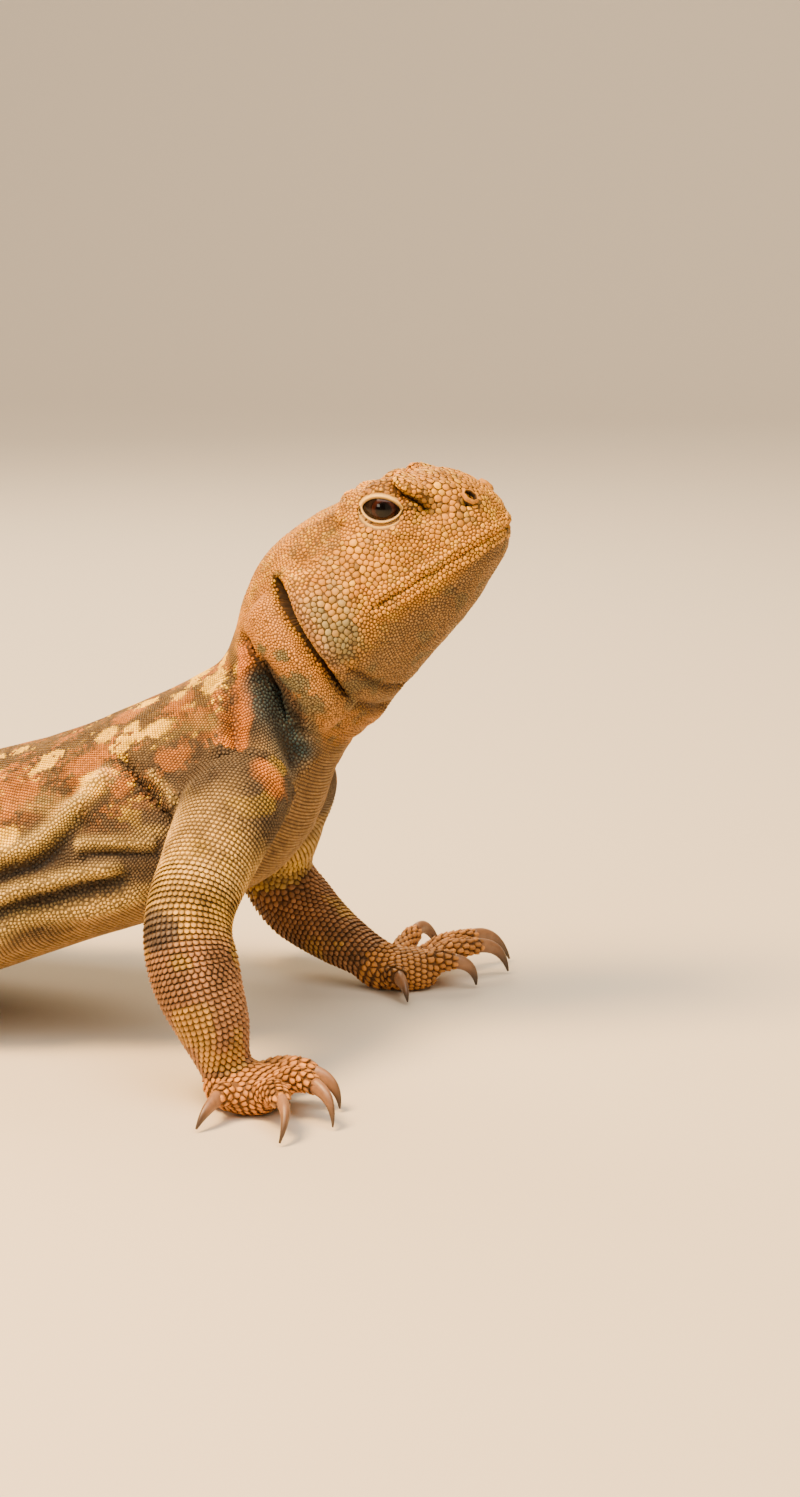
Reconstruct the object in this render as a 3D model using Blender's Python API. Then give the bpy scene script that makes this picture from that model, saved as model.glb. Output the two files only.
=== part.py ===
# A life-size ornate uromastyx lizard, standing with its head raised.
#
# The animal looks along +X, its left side is +Y and the floor is at z = 0. Sizes below are in millimetres,
# and MM turns them into Blender's metres. The origin is on the floor, under the middle of the model.
#
# The head, neck, torso and tail are one lofted surface that is parted with thin cuts. Each leg is an upper
# and a lower length and a foot with five toes, and each claw is a piece of its own.

import math

import bmesh
import bpy
import numpy as np

MM = 0.001
GAP = 0.3            # between pieces that meet
LEG_GAP = 0.45       # between a leg's root and the body, which curve apart between their facets
ORIGIN_X = -131.7    # middle of the model's length, measured from a zero under the throat
ORIGIN_Y = 0.0       # middle of its width, measured from the line of the straight body

# Sections of the head, neck and torso, from the snout to the root of the tail. Each row gives: x and z of
# the back line, x and z of the belly line, half the width, the height of the widest place as a share of
# the section, and how square the section is above and below that place (2 is an ellipse).
SECTIONS = [
    (17.6, 85.6, 17.7, 84.2, 0.9, 0.50, 2.0, 2.0),     # tip of the snout
    (16.4, 88.6, 17.2, 80.6, 5.4, 0.42, 2.2, 2.2),     # lips
    (12.6, 91.8, 14.7, 76.3, 8.4, 0.42, 2.3, 2.1),     # nostrils
    (8.2, 93.5, 12.2, 71.9, 10.2, 0.44, 2.4, 2.1),
    (3.4, 93.7, 8.7, 67.6, 11.6, 0.46, 2.6, 2.1),      # front of the eyes
    (-2.2, 92.3, 5.0, 63.4, 13.0, 0.46, 2.6, 2.1),     # eyes
    (-8.8, 89.2, 1.6, 59.3, 14.8, 0.46, 2.5, 2.1),     # corner of the mouth
    (-15.7, 85.0, -0.6, 56.8, 16.0, 0.46, 2.3, 2.1),   # cheeks
    (-21.8, 79.7, -2.6, 53.7, 15.6, 0.48, 2.2, 2.1),   # ears
    (-25.2, 73.4, -5.8, 51.0, 14.8, 0.50, 2.1, 2.1),   # nape
    (-26.8, 67.5, -9.0, 47.6, 14.8, 0.50, 2.0, 2.0),
    (-29.2, 62.4, -11.8, 41.6, 16.4, 0.50, 2.0, 2.0),
    (-34.2, 59.0, -14.9, 33.6, 18.8, 0.50, 2.1, 2.1),  # shoulders
    (-40.2, 55.8, -20.6, 26.6, 21.2, 0.48, 2.1, 2.2),
    (-47.0, 52.6, -29.6, 22.2, 23.4, 0.46, 2.1, 2.3),
    (-53.8, 49.6, -42.6, 17.8, 25.4, 0.44, 2.1, 2.4),
    (-61.0, 47.0, -55.4, 13.2, 27.2, 0.42, 2.1, 2.4),
    (-69.0, 44.6, -67.6, 8.8, 28.6, 0.41, 2.1, 2.5),
    (-80.0, 41.6, -80.0, 5.6, 29.4, 0.40, 2.1, 2.6),
    (-92.0, 38.8, -93.0, 3.6, 29.0, 0.40, 2.1, 2.6),
    (-104.0, 36.0, -105.0, 2.8, 27.2, 0.40, 2.1, 2.6),
    (-116.0, 32.8, -117.0, 2.6, 24.0, 0.40, 2.1, 2.5),
    (-127.0, 29.2, -128.0, 2.6, 20.4, 0.42, 2.1, 2.4),  # hips
    (-137.0, 25.8, -138.0, 2.2, 17.4, 0.43, 2.1, 2.4),  # vent
]

# The tail lies on the floor and swings to the animal's right.
TAIL_LENGTH = 152.0
TAIL_SHARES = [k / 11 for k in range(1, 11)] + [0.965, 1.0]   # where its sections stand along its length
TAIL_WIDTHS = (16.4, 3.9)     # half the width at the root and near the tip
TAIL_HEIGHTS = (22.6, 6.4)
TAIL_TIP = (0.7, 1.6)         # half the width and the height of the very end
TAIL_SWING = 34.0             # degrees that the tail's end turns from its root
TAIL_SETTLE = 14.0            # length in which its underside comes down to the floor
TAIL_SINK = 0.4               # its underside is pared off flat by this much
TAIL_SHAPE = (0.43, 2.1, 2.5)  # height of its widest place and how square it is, as in SECTIONS
TAIL_TIP_LIFT = 0.3           # height of the very end over the floor, as a share of the height near it

HEAD_END, NECK_END, CHEST_END = 8.6, 11.3, 17.0   # rows at which the body is cut
SHOULDER_ROWS, HIP_ROWS = (9.0, 18.0), (19.0, 24.5)   # rows beside which the arms and the legs meet it
SPLIT_ANGLE = 50.0            # degrees between two facets that show as an edge

# How many corners each closed ring has, and how many rings each length has.
BODY_SIDES, TAIL_SIDES, LEG_SIDES, SOLE_SIDES, TOE_SIDES, CLAW_SIDES = 30, 22, 14, 12, 7, 6
HEAD_RINGS, NECK_RINGS, TORSO_RINGS, TAIL_RINGS = 26, 9, 12, 8
UPPER_LEG_RINGS, LOWER_LEG_RINGS, SOLE_RINGS, TOE_RINGS, CLAW_RINGS = 8, 7, 5, 4, 5
BALL_SEGMENTS, BALL_RINGS = 16, 9

# Whorls of spiny scales round the tail: how far the first one is from the tail's root, the spaces between
# the first two and the last two, and after which whorls the tail is cut.
WHORLS = 20
WHORL_START = 6.0
WHORL_PITCHES = (8.3, 6.2)
WHORL_CUTS = (5, 10, 15)
WHORL_CUT_PLACE = 0.42        # share of the space behind such a whorl at which the cut lies
TAIL_ROOT_CUT = 1.5           # behind the last section of the torso
SPINE_COUNTS = (13, 8)        # in the first whorl and the last
SPINE_SPREAD = 104.0          # degrees from the middle of the back to the lowest spine on each side
SPINE_LENGTHS = (4.2, 6.0)    # on the back and low on the sides, in the first whorl
SPINE_WIDTH, SPINE_THICKNESS = 3.3, 2.0
SPINE_TIP_SIZE = 0.72         # size of the last whorl's spines beside the first's
SPINE_VARIATION = 0.08
SPINE_LEAN = 26.0             # degrees between a spine and the skin
SPINE_SINK = 2.4              # how far the root goes in, along the spine
SPINE_FLOOR = 0.4             # no spine comes closer to the floor than this
SPINE_UNDERSIDE = 0.8         # depth of a spine below its edges beside its height above them

# Legs: the points of each axis from root to end, then the radii there as (across, thick).
LEGS = {
    "right_arm": {
        "names": ("upper_arm_right", "forearm_right"),
        "axis": [(-23.5, -10.0, 44.0), (-22.5, -21.0, 42.0), (-24.0, -31.0, 35.0), (-25.0, -38.6, 27.6),
                 (-23.0, -41.2, 19.5), (-20.4, -41.0, 12.0), (-18.8, -40.4, 5.4)],
        "radii": [(9.0, 8.0), (8.6, 7.6), (7.6, 6.9), (7.0, 6.8), (7.4, 6.7), (6.5, 5.7), (5.0, 3.9)],
        "bend": 3,
    },
    "left_arm": {
        "names": ("upper_arm_left", "forearm_left"),
        "axis": [(-23.5, 10.0, 42.0), (-23.5, 20.5, 37.0), (-27.0, 29.5, 28.0), (-29.8, 34.8, 18.4),
                 (-25.2, 34.6, 11.8), (-18.4, 31.4, 7.8), (-11.0, 28.6, 4.8)],
        "radii": [(9.0, 8.0), (8.4, 7.4), (7.4, 6.9), (6.9, 6.6), (7.0, 6.2), (5.9, 4.9), (4.9, 3.7)],
        "bend": 3,
    },
    "right_leg": {
        "names": ("thigh_right", "shank_right"),
        "axis": [(-127.0, -8.0, 16.0), (-123.0, -20.0, 17.0), (-117.5, -31.5, 18.2), (-113.5, -41.0, 18.6),
                 (-120.0, -49.0, 14.6), (-126.5, -54.5, 9.8), (-131.0, -58.0, 5.4)],
        "radii": [(10.5, 9.0), (10.0, 8.6), (8.6, 8.0), (7.0, 6.8), (7.0, 6.2), (5.6, 4.8), (4.9, 3.9)],
        "bend": 3,
    },
    "left_leg": {
        "names": ("thigh_left", "shank_left"),
        "axis": [(-127.0, 8.0, 16.0), (-125.0, 20.0, 17.0), (-121.0, 31.5, 18.0), (-118.5, 41.0, 18.0),
                 (-126.0, 48.0, 14.0), (-133.5, 52.5, 9.4), (-139.0, 55.5, 5.4)],
        "radii": [(10.5, 9.0), (10.0, 8.6), (8.6, 8.0), (7.0, 6.8), (7.0, 6.2), (5.6, 4.8), (4.9, 3.9)],
        "bend": 3,
    },
}

# Feet: the sole's axis from the wrist or ankle, its radii, and each toe's points from its root to its claw.
# The last point of a toe is the claw's tip, near the floor.
FEET = {
    "hand_right": {
        "leg": "right_arm",
        "axis": [(-18.8, -40.4, 5.0), (-16.8, -41.6, 3.4), (-13.2, -42.8, 3.1), (-10.0, -43.6, 3.0)],
        "radii": [(4.9, 4.4), (5.6, 4.2), (6.4, 3.9), (5.0, 3.2)],
        "toes": [
            [(-14.6, -38.4, 3.4), (-11.4, -35.4, 4.6), (-8.6, -33.4, 4.6), (-5.6, -31.4, 0.7)],
            [(-11.4, -40.8, 3.8), (-7.6, -40.2, 6.0), (-4.2, -40.6, 5.6), (-0.6, -41.4, 0.6)],
            [(-10.4, -43.4, 3.8), (-6.2, -45.2, 6.2), (-2.6, -47.6, 5.8), (0.4, -50.4, 0.6)],
            [(-11.6, -46.2, 3.6), (-8.8, -50.2, 5.4), (-6.4, -54.2, 5.2), (-5.6, -59.4, 0.6)],
            [(-16.0, -45.4, 3.2), (-17.0, -48.4, 4.0), (-17.6, -50.8, 3.8), (-19.4, -55.6, 0.6)],
        ],
    },
    "hand_left": {
        "leg": "left_arm",
        "axis": [(-11.0, 28.6, 4.4), (-8.4, 28.4, 3.2), (-4.6, 29.6, 3.0), (-1.0, 31.0, 2.9)],
        "radii": [(4.8, 4.4), (5.6, 4.1), (6.2, 3.8), (5.0, 3.1)],
        "toes": [
            [(-7.4, 25.4, 3.0), (-5.6, 22.6, 3.8), (-4.4, 20.8, 3.6), (-2.4, 17.4, 0.6)],
            [(-3.0, 28.6, 3.4), (1.0, 28.6, 5.0), (4.0, 29.4, 4.8), (7.0, 30.2, 0.6)],
            [(-1.8, 31.4, 3.4), (2.4, 34.6, 5.6), (6.6, 37.8, 5.6), (10.8, 40.0, 0.6)],
            [(-3.6, 33.8, 3.4), (0.0, 38.6, 5.4), (4.4, 43.6, 5.8), (9.6, 48.0, 0.6)],
            [(-7.6, 32.2, 3.2), (-7.4, 38.0, 4.6), (-6.0, 43.4, 6.4), (-2.0, 46.4, 0.6)],
        ],
    },
    "foot_right": {
        "leg": "right_leg",
        "axis": [(-132.8, -59.8, 3.6), (-130.4, -62.4, 3.4), (-124.6, -65.4, 3.1), (-119.0, -68.4, 2.9)],
        "radii": [(3.8, 4.2), (5.2, 4.1), (6.3, 3.9), (5.2, 3.2)],
        "toes": [
            [(-125.6, -60.6, 3.2), (-122.4, -58.6, 3.8), (-119.6, -57.4, 3.6), (-115.8, -56.2, 0.6)],
            [(-121.4, -64.6, 3.4), (-116.2, -64.2, 5.0), (-111.6, -64.0, 4.4), (-107.4, -64.0, 0.6)],
            [(-119.2, -68.2, 3.4), (-112.8, -70.6, 5.6), (-106.8, -72.6, 4.6), (-102.2, -74.2, 0.6)],
            [(-120.4, -70.2, 3.4), (-114.4, -75.4, 5.6), (-108.6, -80.0, 4.6), (-104.2, -83.4, 0.6)],
            [(-126.6, -68.2, 3.0), (-125.4, -73.4, 4.2), (-123.6, -78.2, 3.8), (-121.4, -82.4, 0.6)],
        ],
    },
    "foot_left": {
        "leg": "left_leg",
        "axis": [(-141.0, 57.4, 3.6), (-138.8, 60.2, 3.4), (-133.6, 63.4, 3.1), (-128.4, 67.0, 2.9)],
        "radii": [(3.8, 4.2), (5.2, 4.1), (6.3, 3.9), (5.2, 3.2)],
        "toes": [
            [(-134.2, 59.0, 3.2), (-130.8, 57.4, 3.8), (-128.0, 56.4, 3.6), (-124.2, 55.6, 0.6)],
            [(-130.6, 63.2, 3.4), (-125.6, 63.2, 5.0), (-121.0, 63.2, 4.4), (-116.8, 63.4, 0.6)],
            [(-128.8, 67.0, 3.4), (-122.6, 69.8, 5.6), (-116.8, 72.2, 4.6), (-112.4, 74.0, 0.6)],
            [(-130.0, 69.0, 3.4), (-124.6, 74.6, 5.6), (-119.2, 79.6, 4.6), (-115.2, 83.4, 0.6)],
            [(-136.0, 66.6, 3.0), (-135.4, 71.8, 4.2), (-134.0, 76.8, 3.8), (-132.0, 81.0, 0.6)],
        ],
    },
}
BEND_EASE = 0.8                  # how gently the legs' sections turn at an elbow or knee
TOE_RADII = [2.3, 2.1, 1.65]     # at a toe's root, knuckle and end
CLAW_RADIUS = 1.25
CLAW_TIP_RADIUS = 0.25
CLAW_FLATNESS = 0.75             # a claw is narrower than it is deep
CLAW_ARCH = 0.55                 # how far it goes straight ahead before it bends, as a share of its length
HEEL_LENGTH = 4.6                # of the wrist or ankle, inside the foot's piece
HEEL_PLACES = (0.6, 1.0)         # its two lower rings along that length
HEEL_SIZES = (1.0, 0.92, 0.5)    # its rings beside the leg's end

EYE_CENTRE = (-1.0, 7.3, 88.4)   # of the animal's left eye
EYE_RADIUS = 3.3
LID_THICKNESS = 0.6
EYE_OPENING = (6.0, 3.4)         # length and height of the gap between the lids
EYE_OPENING_REACH = (1.2, 9.0)   # it is cut from here to here, outward from the eye's centre
EYE_OPENING_POINT = 1.4          # how pointed its corners are
NOSTRIL = (12.4, 5.6, 89.3)
NOSTRIL_SIZE = (1.1, 0.8)
NOSTRIL_OUT, NOSTRIL_DEPTH = 1.0, 2.6
NOSTRIL_SLANT = 28.0             # degrees
EAR_TOP, EAR_END = (-18.2, 77.6), (-14.6, 69.4)
EAR_WIDTH, EAR_DEPTH = 2.4, 2.6
MOUTH_FRONT, MOUTH_CORNER = (17.4, 84.8), (-2.0, 73.0)
MOUTH_WIDTH, MOUTH_DEPTH, MOUTH_OUT = 0.6, 1.5, 1.5
MOUTH_ROWS = (0.5, 6.6)          # rows of the body that its line crosses

# Rounded swellings of the head: centre on the left side, radii along x, y and z, and height.
SWELLINGS = [
    ((-1.5, 8.2, 92.4), (5.4, 3.2, 3.0), 0.85),     # brow over the eye
    ((-1.0, 10.5, 88.2), (5.5, 4.0, 4.5), 1.1),     # round the eye
    ((5.0, 7.2, 91.4), (5.0, 2.4, 2.6), 0.5),       # ridge from the brow to the nostril
    ((12.6, 5.4, 89.4), (2.6, 2.2, 2.4), 0.6),      # round the nostril
    ((-10.5, 15.0, 72.5), (7.0, 5.0, 7.0), 1.3),    # cheek
    ((-9.5, 13.0, 83.5), (5.0, 4.0, 4.5), -0.6),    # hollow of the temple
    ((-8.8, 5.5, 90.0), (4.0, 5.0, 4.0), -0.9),     # dip behind the brow
    ((7.5, 3.5, 93.5), (4.5, 4.0, 3.0), 0.35),      # crown of the snout
]


def spline(rows, at):
    # A smooth curve through the rows, read at fractional row numbers.
    rows = np.asarray(rows, float)
    at = np.asarray(at, float)
    last = len(rows) - 1
    i = np.clip(np.floor(at).astype(int), 0, last - 1)
    t = (at - i)[..., None]
    before, here = rows[np.maximum(i - 1, 0)], rows[i]
    ahead, after = rows[i + 1], rows[np.minimum(i + 2, last)]
    leave, arrive = (ahead - before) / 2, (after - here) / 2
    return ((2 * t**3 - 3 * t**2 + 1) * here + (t**3 - 2 * t**2 + t) * leave
            + (3 * t**2 - 2 * t**3) * ahead + (t**3 - t**2) * arrive)


def tail_rows():
    # The tail's sections in the same form as SECTIONS, with a sideways shift as a last value.
    root = SECTIONS[-1]
    x, y, before = (root[0] + root[2]) / 2, 0.0, 0.0
    rows = []
    for share in TAIL_SHARES:
        turn = math.radians(TAIL_SWING) * (share + before) / 2
        x -= (share - before) * TAIL_LENGTH * math.cos(turn)
        y -= (share - before) * TAIL_LENGTH * math.sin(turn)
        before = share
        lift = root[3] * max(0.0, 1 - share * TAIL_LENGTH / TAIL_SETTLE) - TAIL_SINK
        wide = TAIL_WIDTHS[0] + (TAIL_WIDTHS[1] - TAIL_WIDTHS[0]) * share
        high = TAIL_HEIGHTS[0] + (TAIL_HEIGHTS[1] - TAIL_HEIGHTS[0]) * share
        if share == 1.0:
            wide, high, lift = TAIL_TIP[0], TAIL_TIP[1], TAIL_HEIGHTS[1] * TAIL_TIP_LIFT
        rows.append((x, lift + high, x, lift, wide, *TAIL_SHAPE, y))
    return rows


def tail_row(distance):
    # The fractional row at a distance from the tail's root.
    return len(SECTIONS) - 1 + np.interp(distance / TAIL_LENGTH, [0.0] + TAIL_SHARES,
                                         range(len(TAIL_SHARES) + 1))


def whorl_places():
    # The distance of each whorl from the tail's root, closer together towards the tip.
    pitches = np.linspace(*WHORL_PITCHES, WHORLS - 1)
    return WHORL_START + np.concatenate([[0.0], np.cumsum(pitches)])


BODY = [row + (0.0,) for row in SECTIONS] + tail_rows()


def plain_point(row_at, angle):
    # A point of the smooth body. Angle 0 is the back, a quarter turn is the animal's right side.
    row_at, angle = np.broadcast_arrays(np.asarray(row_at, float), np.asarray(angle, float))
    v = spline(BODY, row_at)
    back = np.stack([v[..., 0], v[..., 8], v[..., 1]], -1)
    belly = np.stack([v[..., 2], v[..., 8], v[..., 3]], -1)
    step = 0.02
    nearby = spline(BODY, np.clip(row_at + step, 0, len(BODY) - 1))
    before = spline(BODY, np.clip(row_at - step, 0, len(BODY) - 1))
    run = (nearby - before)[..., [0, 8]] + (nearby - before)[..., [2, 8]]
    run = run / np.maximum(np.linalg.norm(run, axis=-1, keepdims=True), 1e-9)
    side = np.stack([-run[..., 1], run[..., 0], np.zeros_like(row_at)], -1)
    widest = v[..., 5:6]
    axis = back - belly
    centre = belly + widest * axis
    c, s = np.cos(angle)[..., None], np.sin(angle)[..., None]
    power = np.where(c >= 0, v[..., 6:7], v[..., 7:8])
    out = np.sign(s) * np.abs(s) ** (2 / power) * v[..., 4:5]
    rise = np.where(c >= 0, 1 - widest, -widest) * np.abs(c) ** (2 / power)
    return centre + side * out + axis * rise


def plain_normal(row_at, angle):
    step = 0.03
    last = len(BODY) - 1
    along = (plain_point(np.clip(row_at + step, 0, last), angle)
             - plain_point(np.clip(row_at - step, 0, last), angle))
    around = plain_point(row_at, angle + step) - plain_point(row_at, angle - step)
    normal = np.cross(along, around)
    return normal / np.maximum(np.linalg.norm(normal, axis=-1, keepdims=True), 1e-9)


def on_flank(x, z):
    # The place on the animal's right side that shows at x and z in a side view.
    rows, angles = np.meshgrid(np.linspace(0.2, 24, 400), np.radians(np.linspace(4, 170, 180)), indexing="ij")
    points = plain_point(rows, angles)
    best = np.argmin((points[..., 0] - x) ** 2 + (points[..., 2] - z) ** 2)
    return points.reshape(-1, 3)[best]


def relief(points):
    # How far the skin stands out from the smooth body, from the swellings on both sides.
    height = np.zeros(points.shape[:-1])
    for centre, radii, rise in SWELLINGS:
        for side in (1, -1):
            away = (points - np.array(centre) * (1, side, 1)) / radii
            height += rise * np.exp(-(away**2).sum(-1))
    return height


def body_point(row_at, angle, grow=0.0):
    points = plain_point(row_at, angle)
    points = points + plain_normal(row_at, angle) * (relief(points) + grow)[..., None]
    points[..., 2] = np.maximum(points[..., 2], -grow)
    return points


def loft(rings):
    # A closed surface through rings of points, with a fan over each end: vertices and faces.
    rings = np.asarray(rings, float)
    count, sides = rings.shape[:2]
    j = np.arange(sides)
    faces = []
    for i in range(count - 1):
        a, b = i * sides + j, i * sides + (j + 1) % sides
        faces += np.stack([a, b, b + sides, a + sides], 1).tolist()
    first, last = count * sides, count * sides + 1
    faces += np.stack([(j + 1) % sides, j, np.full(sides, first)], 1).tolist()
    tail = (count - 1) * sides
    faces += np.stack([tail + j, tail + (j + 1) % sides, np.full(sides, last)], 1).tolist()
    vertices = np.concatenate([rings.reshape(-1, 3), rings[:1].mean(1), rings[-1:].mean(1)])
    return vertices, faces


def facing_out(vertices, faces):
    # Turns the faces round if they enclose a negative volume.
    volume = 0.0
    for face in faces:
        corners = vertices[face]
        for k in range(1, len(face) - 1):
            volume += np.dot(corners[0], np.cross(corners[k], corners[k + 1]))
    return faces if volume > 0 else [face[::-1] for face in faces]


def make_object(name, vertices, faces, material=None, helper=False):
    vertices = np.asarray(vertices, float)
    faces = facing_out(vertices, faces)
    mesh = bpy.data.meshes.new(name)
    mesh.from_pydata(((vertices - (ORIGIN_X, ORIGIN_Y, 0)) * MM).tolist(), [], faces)
    mesh.validate()
    obj = bpy.data.objects.new(name, mesh)
    bpy.context.scene.collection.objects.link(obj)
    if material:
        mesh.materials.append(material)
        mesh.shade_smooth()
        mesh.set_sharp_from_angle(angle=math.radians(SPLIT_ANGLE))
    if helper:
        obj.hide_render = True
        obj.display_type = "WIRE"
    return obj


def skin_material(name, colour, roughness=0.7):
    material = bpy.data.materials.new(name)
    material.use_nodes = True
    shader = material.node_tree.nodes["Principled BSDF"]
    shader.inputs["Base Color"].default_value = (*colour, 1)
    shader.inputs["Roughness"].default_value = roughness
    return material


def keep_largest(mesh):
    # Leaves only the closed surface that holds the largest volume.
    work = bmesh.new()
    work.from_mesh(mesh)
    left = set(work.faces)
    shells = []
    while left:
        seed = left.pop()
        shell, queue = [seed], [seed]
        while queue:
            for edge in queue.pop().edges:
                for face in edge.link_faces:
                    if face in left:
                        left.remove(face)
                        shell.append(face)
                        queue.append(face)
        volume = sum(face.calc_area() * face.normal.dot(face.calc_center_median()) for face in shell)
        shells.append((abs(volume), shell))
    shells.sort(key=lambda entry: entry[0])
    for _, shell in shells[:-1]:
        bmesh.ops.delete(work, geom=shell, context="FACES")
    bmesh.ops.delete(work, geom=[v for v in work.verts if not v.link_faces], context="VERTS")
    work.to_mesh(mesh)
    work.free()


def boolean(target, others, operation, solver="EXACT"):
    # Joins the others to the target, or cuts them from it, applies the result and removes the others.
    group = bpy.data.collections.new(target.name + "_others")
    bpy.context.scene.collection.children.link(group)
    for other in others:
        for owner in list(other.users_collection):
            owner.objects.unlink(other)
        group.objects.link(other)
    step = target.modifiers.new(operation.title(), "BOOLEAN")
    step.operation = operation
    step.operand_type = "COLLECTION"
    step.collection = group
    step.solver = solver
    bpy.context.view_layer.update()
    graph = bpy.context.evaluated_depsgraph_get()
    result = bpy.data.meshes.new_from_object(target.evaluated_get(graph))
    target.modifiers.clear()
    keep_largest(result)
    target.data = result
    for other in others:
        bpy.data.objects.remove(other)
    bpy.data.collections.remove(group)
    return target


def half_gap(row):
    # Half the gap as a share of a row at this place.
    step = 0.1
    near = spline(BODY, np.array([row - step, row + step]))
    middle = (near[:, [0, 1]] + near[:, [2, 3]]) / 2
    run = np.linalg.norm(np.append(middle[1] - middle[0], near[1, 8] - near[0, 8]))
    return GAP / 2 / run * 2 * step


def body_piece(name, start, end, rows, sides, material):
    # One length of the body between two cuts.
    first = start + half_gap(start) if start > 0 else 0
    last = end - half_gap(end) if end < len(BODY) - 1 else end
    at = np.linspace(first, last, rows)
    angle = np.linspace(0, 2 * math.pi, sides, endpoint=False)
    rings = body_point(at[:, None], angle[None, :])
    return make_object(name, *loft(rings), material)


def tube_rings(axis, radii, count, sides, start=0.0, end=None, ease=0.05):
    # Rings round a smooth axis. The first radius lies level and the second stands square to it. The ease
    # is how far to either side of a ring its direction is read, which keeps rings apart inside a sharp bend.
    end = len(axis) - 1 if end is None else end
    at = np.linspace(start, end, count)
    centre = spline(axis, at)
    size = spline(radii, at)
    ahead = spline(axis, np.minimum(at + ease, len(axis) - 1)) - spline(axis, np.maximum(at - ease, 0))
    ahead /= np.linalg.norm(ahead, axis=1, keepdims=True)
    level = np.cross(ahead, (0.0, 0.0, 1.0)) + 1e-6
    level /= np.linalg.norm(level, axis=1, keepdims=True)
    rise = np.cross(level, ahead)
    angle = np.linspace(0, 2 * math.pi, sides, endpoint=False)
    c, s = np.cos(angle)[None, :, None], np.sin(angle)[None, :, None]
    rings = (centre[:, None] + level[:, None] * c * size[:, None, :1] + rise[:, None] * s * size[:, None, 1:])
    rings[..., 2] = np.maximum(rings[..., 2], 0.0)
    return rings


def ellipsoid(name, centre, radii, axes, segments=BALL_SEGMENTS, rings=BALL_RINGS, helper=True,
              material=None):
    # A closed ball stretched along three given directions.
    polar = np.linspace(0, math.pi, rings + 1)[1:-1]
    angle = np.linspace(0, 2 * math.pi, segments, endpoint=False)
    unit = np.stack([np.sin(polar)[:, None] * np.cos(angle), np.sin(polar)[:, None] * np.sin(angle),
                     np.cos(polar)[:, None] + 0 * angle], -1)
    local = unit * radii
    points = np.asarray(centre, float) + local @ np.asarray(axes, float)
    vertices, faces = loft(points)
    ends = np.asarray(axes, float)[2] * radii[2]
    vertices[-2], vertices[-1] = np.asarray(centre) + ends, np.asarray(centre) - ends
    return make_object(name, vertices, faces, material, helper)


def eye_opening_cutter(side):
    # An almond-shaped prism that opens the lids in front of the eye.
    x0, y0, z0 = EYE_CENTRE
    length, height = EYE_OPENING
    turn = np.linspace(0, 2 * math.pi, 20, endpoint=False)
    across = np.cos(turn) * length / 2
    rise = np.sign(np.sin(turn)) * np.abs(np.sin(turn)) ** EYE_OPENING_POINT * height / 2
    rings = [np.stack([x0 + across, np.full_like(turn, side * (y0 + out)), z0 + rise], -1)
             for out in EYE_OPENING_REACH]
    return make_object("eye_opening", *loft(rings), helper=True)


def mouth_cutter():
    # A thin band that follows the line of the mouth from one corner, round the snout, to the other.
    front, corner = np.array(MOUTH_FRONT), np.array(MOUTH_CORNER)
    run = (front - corner) / np.linalg.norm(front - corner)
    upright = np.array([-run[1], run[0]])
    rows = np.linspace(*MOUTH_ROWS, 13)
    angle = np.radians(np.linspace(10, 172, 240))
    line, normals = [], []
    for row in rows:
        points = plain_point(np.full_like(angle, row), angle)
        height = (points[:, [0, 2]] - corner) @ upright
        k = int(np.argmax(height < 0))
        place = points[k]
        if (place[[0, 2]] - corner) @ run < 0:
            break
        line.append(place)
        normals.append(plain_normal(row, angle[k]))
    line, normals = np.array(line), np.array(normals)
    flip = np.array([1, -1, 1])
    nose = np.array([[front[0] + 0.2, 0.0, front[1]]])
    line = np.concatenate([line[::-1], nose, line * flip])
    normals = np.concatenate([normals[::-1], [[1.0, 0.0, 0.0]], normals * flip])
    tall = np.array([upright[0], 0.0, upright[1]]) * MOUTH_WIDTH / 2
    inner, outer = line - normals * MOUTH_DEPTH, line + normals * MOUTH_OUT
    rings = np.stack([inner - tall, outer - tall, outer + tall, inner + tall], 1)
    return make_object("mouth_line", *loft(rings), helper=True)


def spine(name, row, angle, length, width, thickness, lean):
    # One pointed scale of the tail, four-sided, that leans back from the skin by the given angle. Its root
    # is sunk in the tail, and its tip is the only point where its four edges meet.
    place, out = body_point(row, angle), plain_normal(row, angle)
    back = body_point(row + 0.1, angle) - place
    back -= out * (back @ out)
    back /= np.linalg.norm(back)
    across = np.cross(back, out)
    ahead = back * math.cos(lean) + out * math.sin(lean)
    up = np.cross(across, ahead)
    up = up if up @ out > 0 else -up
    below = -up * thickness * SPINE_UNDERSIDE
    corners = np.array([across * width, up * thickness, -across * width, below]) / 2
    vertices = np.concatenate([place - ahead * SPINE_SINK + corners * (1 + SPINE_SINK / length),
                               [place + ahead * length]])
    vertices[:, 2] = np.maximum(vertices[:, 2], SPINE_FLOOR)
    faces = [[3, 2, 1, 0]] + [[j, (j + 1) % 4, 4] for j in range(4)]
    return make_object(name, vertices, faces, helper=True)


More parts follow.
